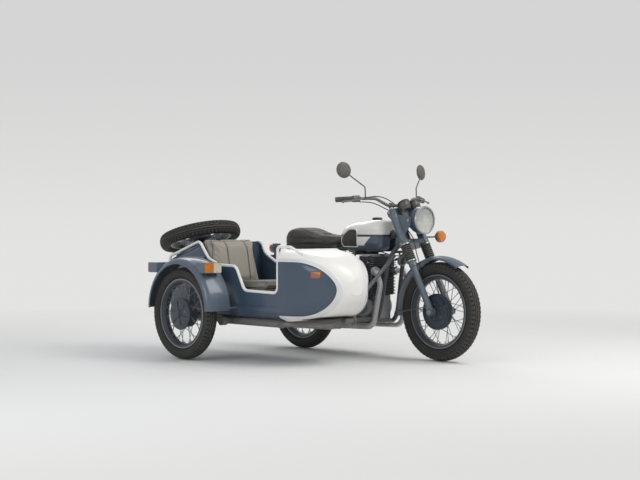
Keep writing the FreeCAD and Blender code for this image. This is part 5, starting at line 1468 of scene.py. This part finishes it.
fork_parts = Batch()
for side in (1, -1):
    top = along_leg(793, side)
    fork_parts.turned([(0.0165, -0.002), (0.0165, 0.004), (0.013, 0.007), (0.004, 0.008)], top, up_leg, 32)
    fork_parts.bolt(top + up_leg * 0.006, up_leg, 0.0095)
    for level, size in ((772, 0.0055), (530, 0.0060)):
        fork_parts.bolt(along_leg(level, side) + crossways * (side * 0.0262) - out_front * 0.012,
                        (0, side, 0), size)
    fork_parts.bolt(along_leg(530, side) + out_front * 0.0362 - crossways * (side * 0.014), out_front, 0.0055)
    for level in (387, 513):
        fork_parts.turned([(0.0362, -0.0035), (0.0370, -0.003), (0.0370, 0.003), (0.0362, 0.0035)],
                          along_leg(level, side), up_leg, 40)
    fork_parts.screw(along_leg(30, side) + crossways * (side * 0.0228) - out_front * 0.004,
                     (0, side, 0), 0.005)
    fork_parts.turned([(0.0165, 0), (0.0165, 0.0022), (0.011, 0.0024)],
                      front_axle + crossways * (side * 0.1212), (0, side, 0), 28)
    fork_parts.bolt(front_axle + crossways * (side * 0.1228), (0, side, 0), 0.0115)
stem_top = front_axle - out_front * 0.055 + up_leg * 0.786
fork_parts.bolt(stem_top, up_leg, 0.0165)
fork_parts.bolt(at(1324, -59.5, 402), (0, -1, 0), 0.0062)
fork_parts.done("fork_fasteners", bright_steel, "steering")
print("the fork has its bolts")


# %% [markdown]
# ## The engine's fittings
# An air-cooled twin is a pile of fins on long studs. The fins are deep plates round a barrel, so
# a core painted near black stands between them here as painted shade, and the studs run through the
# whole stack. Bolt circles close the round covers, and each exhaust port has its ring nut.

# %% Barrel cores and studs
def rounded_outline(half_x, half_y, corner, steps=6):
    """A rounded rectangle in plan, in metres about its middle."""
    outline = []
    for turn, (sign_x, sign_y) in enumerate(((1, 1), (-1, 1), (-1, -1), (1, -1))):
        for step in range(steps + 1):
            angle = math.pi / 2 * (turn + step / steps)
            outline.append((sign_x * (half_x - corner) + corner * math.cos(angle),
                            sign_y * (half_y - corner) + corner * math.sin(angle)))
    return outline


def slab(batch, centre, half_x, half_y, low, high, corner=0.02):
    """An upright block with rounded corners."""
    outline = rounded_outline(half_x, half_y, corner)
    vertices = [centre + Vector((x, y, z)) for z in (low, high) for x, y in outline]
    count = len(outline)
    batch.add(vertices, ring_quads(2, count) + end_caps(2, count))


cores = Batch()
# near-black cores: painted shade down between the fins
slab(cores, at(773, 0, 0), 0.060, 0.114, 0.432, 0.634)
slab(cores, at(770, 0, 0), 0.070, 0.118, 0.636, 0.7055)
cores.done("barrel_cores", core_painted_shade, "chassis")
studs = Batch()
for side in (1, -1):
    for x in (716, 826):
        for y in (16, 112):
            studs.turned([(0.0048, 0.436), (0.0048, 0.706)], at(x, side * y, 0), (0, 0, 1), 12)
            studs.bolt(at(x, side * y, 706), (0, 0, 1), 0.0078)
    studs.bolt(at(770, side * 62, 709.5), (0, 0, 1), 0.0110)
studs.done("engine_studs", dull_fasteners, "chassis")
print("the barrels have", len(studs.faces), "faces of studs")

# %% Rocker covers
rockers = Batch()
for side in (1, -1):
    rockers.block(at(770, side * 62, 713), (0.058, 0.036, 0.011))
    for x in (724, 816):
        for y in (36, 88):
            rockers.screw(at(x, side * y, 721), (0, 0, 1), 0.0050)
rockers.done("rocker_covers", case_metal, "chassis")
print("the rocker covers have", len(rockers.faces), "faces")

# %% Ignition coils and the loom under the tank
coils = Batch()
for side in (1, -1):
    coil_end = at(606, side * 62, 731)
    coils.turned([(0.0060, 0), (0.0128, 0.002), (0.0138, 0.006), (0.0138, 0.104), (0.0128, 0.108),
                  (0.0060, 0.110)], coil_end, (1, 0, 0), 28)
    coils.turned([(0.0060, -0.012), (0.0070, 0)], coil_end, (1, 0, 0), 16)
    coils.block(at(661, side * 50, 738), (0.012, 0.016, 0.0035))
loom = [at(520, -30, 742), at(606, -40, 734), at(700, -34, 738), at(820, -28, 742), at(884, -24, 752)]
coils.tube(smooth_path(loom), 0.0062, 12)
coils.done("ignition_coils", black_plastic, "chassis")
print("the coils have", len(coils.faces), "faces")

# %% Spark plugs and their leads, which run to the coils
plugs = Batch()
leads = Batch()
for side in (1, -1):
    foot = at(806, side * 120, 668)
    way = Vector((0.55, side * 0.6, 0.42)).normalized()
    plugs.turned([(0.0085, -0.010), (0.0085, 0.004), (0.0062, 0.005), (0.0062, 0.018), (0.0042, 0.022),
                  (0.0042, 0.026)], foot, way, 18)
    cap = foot + way * 0.022
    leads.turned([(0.0075, 0), (0.0088, 0.003), (0.0088, 0.020), (0.0068, 0.026), (0.0045, 0.030)],
                 cap, way, 18)
    path = smooth_path([cap + way * 0.026, cap + way * 0.048 + Vector((-0.004, 0, 0.006)),
                        at(816, side * 96, 716), at(764, side * 52, 738), at(716, side * 31, 748)], 8)
    leads.tube(path, 0.0035, 10)
plugs.done("spark_plugs", bright_steel, "chassis")
leads.done("plug_caps_and_leads", black_rubber, "chassis")
print("each cylinder has a plug and a lead")

# %% Case covers, case bolts and port nuts
case_bolts = Batch()
case_rings = Batch()
for side in (1, -1):
    for x, radius, out, bolts in ((740, 0.078, 0.116, 7), (540, 0.092, 0.104, 8)):
        face = at(x, 0, 350) + crossways * (side * out)
        case_rings.turned([(radius - 0.012, -0.002), (radius - 0.014, 0.0022), (radius - 0.026, 0.0026),
                           (radius - 0.031, 0.0004), (radius - 0.045, 0.0004), (radius - 0.048, 0.0034),
                           (0.012, 0.0046), (0.0005, 0.0046)], face, (0, side, 0), 56)
        for way in rays(bolts, 0.3):
            place = face + way * (radius - 0.020) + crossways * (side * 0.0024)
            case_bolts.screw(place, (0, side, 0), 0.0052)
    for x in (440, 640, 815):
        for z in (280, 418):
            case_bolts.bolt(at(x, side * 78, z), (0, side, 0), 0.0052)
    port = at(853, side * 100, 606)
    way = Vector((51, side * 41, 0)).normalized()
    case_bolts.turned([(0.020, 0.003), (0.0315, 0.004), (0.0325, 0.006), (0.0325, 0.017), (0.0310, 0.019),
                       (0.0205, 0.020)], port, way, 32)
case_rings.done("case_cover_dishes", case_metal, "chassis", 25)
case_bolts.done("case_fasteners", bright_steel, "chassis")
print("the engine has", len(studs.faces) + len(case_bolts.faces), "faces of studs and bolts")

# %% The tank's knee-pad piping
tank_skin = skin_of(nodes["fuel_tank"])
pad_corners = [(556, 778), (640, 777), (708, 777), (717, 786), (718, 840), (714, 888), (703, 902), (670, 906),
               (636, 904), (604, 888), (566, 858), (550, 840), (545, 815), (546, 790)]
pad_outline = smooth_path([Vector((x, 0, z)) for x, z in pad_corners + pad_corners[:2]], 6)
tank_trim = Batch()
for side in (1, -1):
    beside = [at(corner.x, side * 400, corner.z) for corner in pad_outline]
    tank_trim.tube(seam_line(tank_skin, beside, (0, -side, 0), 0.0008), 0.0030)
tank_trim.done("knee_pad_piping", white_paint, "chassis")
print("the knee pads are piped")

# %% Fuel tap and hose
tap = Batch()
tap.turned([(0.011, 0), (0.011, 0.012), (0.0075, 0.014), (0.0075, 0.034), (0.005, 0.036)], at(640, -92, 748),
           (0, 0, -1), 18)
tap.block(at(640, -108, 726), (0.016, 0.0035, 0.0045))
tap.done("fuel_tap", dull_fasteners, "chassis")
hose = Batch()
hose.tube(smooth_path([at(640, -92, 714), at(640, -90, 692), at(652, -80, 664), at(652, -66, 640)]), 0.0045)
hose.done("fuel_hose", black_rubber, "chassis")
print("the tank has its tap and hose")


# %% [markdown]
# ## The running gear's fittings
# The frame, stand and guards are bolted together, and a rider works two foot levers. Their
# rubbers, the guards' rolled edges and the horn's ring are small, but a bare end looks unfinished.

# %% Rolled edges of the guards
edge_steps = 72


def rolled_edge(batch, centre, radius, y, start, sweep, wire):
    """A wire along a guard's edge, from a start angle over a sweep, both in degrees."""
    angles = [start + sweep * step / edge_steps for step in range(edge_steps + 1)]
    batch.tube([centre + ray(angle) * radius + crossways * y for angle in angles], wire)


front_edges = Batch()
rear_edges = Batch()
rear_axle = at(0, 0, rear_radius)
for side in (1, -1):
    rolled_edge(front_edges, front_axle, 0.3565, side * 0.0588, 57, 130, 0.0026)
    rolled_edge(rear_edges, rear_axle, 0.3285, side * 0.0668, 62, 146, 0.0026)
front_edges.done("front_guard_edges", guard_paint, "steering")
rear_edges.done("rear_guard_edges", slate_paint, "chassis")
side_edges = Batch()
arch_centre = at(105, 0, 350)
rolled_edge(side_edges, arch_centre, 0.3155, -1.2878, 0, 180, 0.0036)
rolled_edge(side_edges, arch_centre, 0.3565, -1.1085, 0, 180, 0.0030)
side_edges.done("sidecar_guard_edges", guard_paint, "chassis")
print("six guard edges are rolled")

# %% The front guard's bolts and the horn's ring
front_bolts = Batch()
for side in (1, -1):
    front_bolts.bolt(at(1026, side * 64.5, 331), (0, side, 0), 0.0055)
    front_bolts.bolt(at(1197, side * 62.5, 688), (0, side, 0), 0.0055)
front_bolts.done("front_guard_bolts", bright_steel, "steering")
horn_face = Vector((1, 0, -0.3)).normalized()
horn_middle = at(1012, 0, 690)
horn_ring = Batch()
horn_ring.turned([(0.0425, 0.006), (0.0440, 0.008), (0.0440, 0.022), (0.0415, 0.026), (0.0360, 0.029)],
                 horn_middle, horn_face, 48)
horn_ring.turned([(0.0130, 0.044), (0.0110, 0.0475), (0.0005, 0.0485)], horn_middle, horn_face, 32)
horn_ring.done("horn_ring", dull_fasteners, "chassis", 30)
print("the horn's ring has", len(horn_ring.faces), "faces")

# %% Bolts of the shocks, the arm, the side covers and the chain case
bike_bolts = Batch()
for side in (1, -1):
    for x, y, z, size in ((-20, 142, 716, 0.0095), (-22, 146, 345, 0.0095), (0, 111, 319, 0.0125),
                          (350, 107, 320, 0.0120)):
        bike_bolts.bolt(at(x, side * y, z), (0, side, 0), size)
    bike_bolts.screw(at(236, side * 141, 700), (0, side, 0), 0.0075)
    bike_bolts.screw(at(104, side * 141, 660), (0, side, 0), 0.0060)
chain_face = crossways * 0.0677
chain_bolts = [rear_axle + ray(degrees) * 0.082 for degrees in range(100, 261, 32)]
for place in chain_bolts + [at(210, 0, 396), at(210, 0, 252)]:
    bike_bolts.bolt(place + chain_face, crossways, 0.0045)
bike_bolts.done("bike_bolts", bright_steel, "chassis")
print("the chain case is closed with", len(chain_bolts) + 2, "bolts")

# %% The foot levers' rubbers
lever_rubbers = Batch()
lever_rubbers.turned([(0.0062, -0.002), (0.0105, 0), (0.0112, 0.004), (0.0105, 0.008), (0.0112, 0.012),
                      (0.0105, 0.016), (0.0112, 0.020), (0.0105, 0.024), (0.0112, 0.028), (0.0100, 0.034),
                      (0.0010, 0.036)], at(718, 143, 308.5), Vector((58, 36, 6)), 20)
lever_rubbers.turned([(0.0082, -0.002), (0.0128, 0), (0.0136, 0.005), (0.0126, 0.010), (0.0136, 0.015),
                      (0.0126, 0.020), (0.0136, 0.025), (0.0126, 0.030), (0.0136, 0.035), (0.0120, 0.042),
                      (0.0010, 0.044)], at(465.3, 154, 503.5), Vector((2, 52, 52)), 22)
lever_rubbers.done("lever_rubbers", black_rubber, "chassis", 30)
print("guards, horn and foot levers are fitted")


# %% [markdown]
# ## The sidecar's fittings
# The body is pressed steel, so a shallow crease stiffens its long side, and its lamps stand in
# bezels. Inside lies a ribbed mat. The trunk lid has a handle with a lock, screws in its hinges,
# and the spare wheel is held down by a nut with two wings.

# %% The body's crease and the mat
body_y = -740
crease = Batch()
for half_width in (-290.2, 290.2):
    crease.tube([at(x, body_y + half_width, 388 + max(0.0, x - 700) * 0.02) for x in range(215, 871, 15)],
                0.0030, 8)
crease.done("body_crease", slate_paint, "chassis")
mat_ribs = 30
mat = Batch()
for index in range(mat_ribs):
    # past the fifteenth rib the footwell narrows towards the nose
    half_rib = 0.232 - max(0, index - 14) * 0.0045
    mat.block(at(742 + index * 13.0, body_y, 309.2), (0.0042, half_rib, 0.0030))
mat.block(at(930, body_y, 307.2), (0.196, 0.170, 0.0012))
mat.done("footwell_mat", black_rubber, "chassis")
print("the mat has", mat_ribs, "ribs")

# %% Bezels of the sidecar's lamps
lamp_trim = Batch()


def bezel(batch, centre, half_y, half_z, proud, bar):
    """A frame of four bars round a rectangular lens that faces forward."""
    for sign in (1, -1):
        batch.block(centre + Vector((0, 0, sign * half_z)), (proud, half_y + bar, bar))
        batch.block(centre + Vector((0, sign * half_y, 0)), (proud, bar, half_z + bar))


def past_arch(degrees, radius, x, y, z):
    """A place on the guard's arch, moved on by millimetres; y is the scene's own."""
    return arch_centre + ray(degrees) * (radius * 0.001) + Vector((x, y, z)) * 0.001


marker = [(1148, 590), (1148, 629), (1151, 632), (1204, 632), (1207, 629), (1207, 590), (1204, 587),
          (1151, 587), (1148, 590), (1148, 609)]
marker_line = seam_line(skin_of(nodes["body_tub"]), [at(x, -1200, z) for x, z in marker], crossways, 0.003)
lamp_trim.tube(marker_line, 0.0026, 8)
front_lamp = (52.7, 322)
bezel(lamp_trim, past_arch(*front_lamp, 95, -1204, 35), 0.0635, 0.0335, 0.0045, 0.0028)
lamp_trim.block(past_arch(*front_lamp, 102, -1208, 35), (0.0112, 0.0012, 0.0330))
for y, z in ((-1256, 59), (-1232, 11), (-1176, 11), (-1152, 59)):
    lamp_trim.screw(past_arch(*front_lamp, 112.2, y, z), (1, 0, 0), 0.0036)
for y in (-1254, -1154):
    lamp_trim.screw(past_arch(135.8, 356, -101.2, y, 35), (-1, 0, 0), 0.0036)
lamp_trim.done("lamp_bezels", warm_grey, "chassis")
print("the lamps' bezels have", len(lamp_trim.faces), "faces")

# %% Trunk handle, lock and hinge screws
lid_up = Vector((-math.sin(spare_tilt), 0, math.cos(spare_tilt)))
lid_slope = 112.0 / 375.0
handle_x = -302


def on_lid(x, y, lift=9.0):
    """A place above the trunk lid's upper face, by a lift in millimetres."""
    return at(x, y, 812.0 + (x - 30.0) * lid_slope + lift)


lid_trim = Batch()
for y in (-780, -700):
    lid_trim.turned([(0.009, 0), (0.009, 0.003), (0.0055, 0.005), (0.0050, 0.020)],
                    on_lid(handle_x, y), lid_up, 20)
grip = [on_lid(handle_x, y, lift) for y, lift in ((-784, 24), (-770, 31), (-740, 33), (-710, 31), (-696, 24))]
lid_trim.tube(smooth_path(grip, 6), 0.0052, 14)
lid_trim.turned([(0.0125, 0), (0.0125, 0.002), (0.0095, 0.004), (0.0080, 0.0042), (0.0005, 0.0042)],
                on_lid(handle_x, -652), lid_up, 28)
for y in (-890, -590):
    for x, offset in ((-30, -9), (-30, 9), (-20, 0)):
        lid_trim.screw(on_lid(x, y + offset, 14.5), lid_up, 0.0038)
lid_trim.done("trunk_handle_and_screws", bright_steel, "trunk_lid")
print("the trunk has its handle and lock")

# %% The spare wheel's nut
wheel_nut = Batch()
post_top = at(-330, body_y, 845) + lid_up * 0.062
wheel_nut.turned([(0.0225, 0), (0.0235, 0.003), (0.0200, 0.010), (0.0110, 0.014), (0.0005, 0.015)],
                 post_top, lid_up, 32)
for side in (1, -1):
    wing = [post_top + crossways * (side * reach) + lid_up * rise
            for reach, rise in ((0.010, 0.008), (0.024, 0.014), (0.036, 0.023))]
    wheel_nut.tube(smooth_path(wing, 6), 0.0058, 12)
wheel_nut.done("spare_wheel_nut", bright_steel, "trunk_lid")
print("the spare is held by a nut with two wings")

# %% Chassis clamps and bolts
inner_y, outer_y, tube_z = -412, -970, 272
clamps = Batch()
for x in (955, 345):
    centre = at(x, inner_y, tube_z)
    clamps.turned([(0.0200, -0.010), (0.0255, -0.009), (0.0255, 0.009), (0.0200, 0.010)],
                  centre, (0, 1, 0), 32)
    clamps.bolt(centre + Vector((0, 0, 0.0255)), (0, 0, 1), 0.0062)
for x in (330, 520, 700):
    clamps.bolt(at(x, outer_y, 298), (0, 0, 1), 0.0070)
for x in (238, 842):
    clamps.turned([(0.0262, -0.012), (0.0285, -0.011), (0.0285, 0.011), (0.0262, 0.012)],
                  at(x, outer_y, tube_z), (1, 0, 0), 36)
for x in (238, 842):
    clamps.bolt(at(x, outer_y - 28.5, tube_z), outward, 0.0065)
clamps.bolt(at(330, -1049, tube_z), outward, 0.0110)
clamps.done("chassis_clamps", dull_fasteners, "chassis")
print("the sidecar is fitted out")


# %% [markdown]
# ## Close the lesson
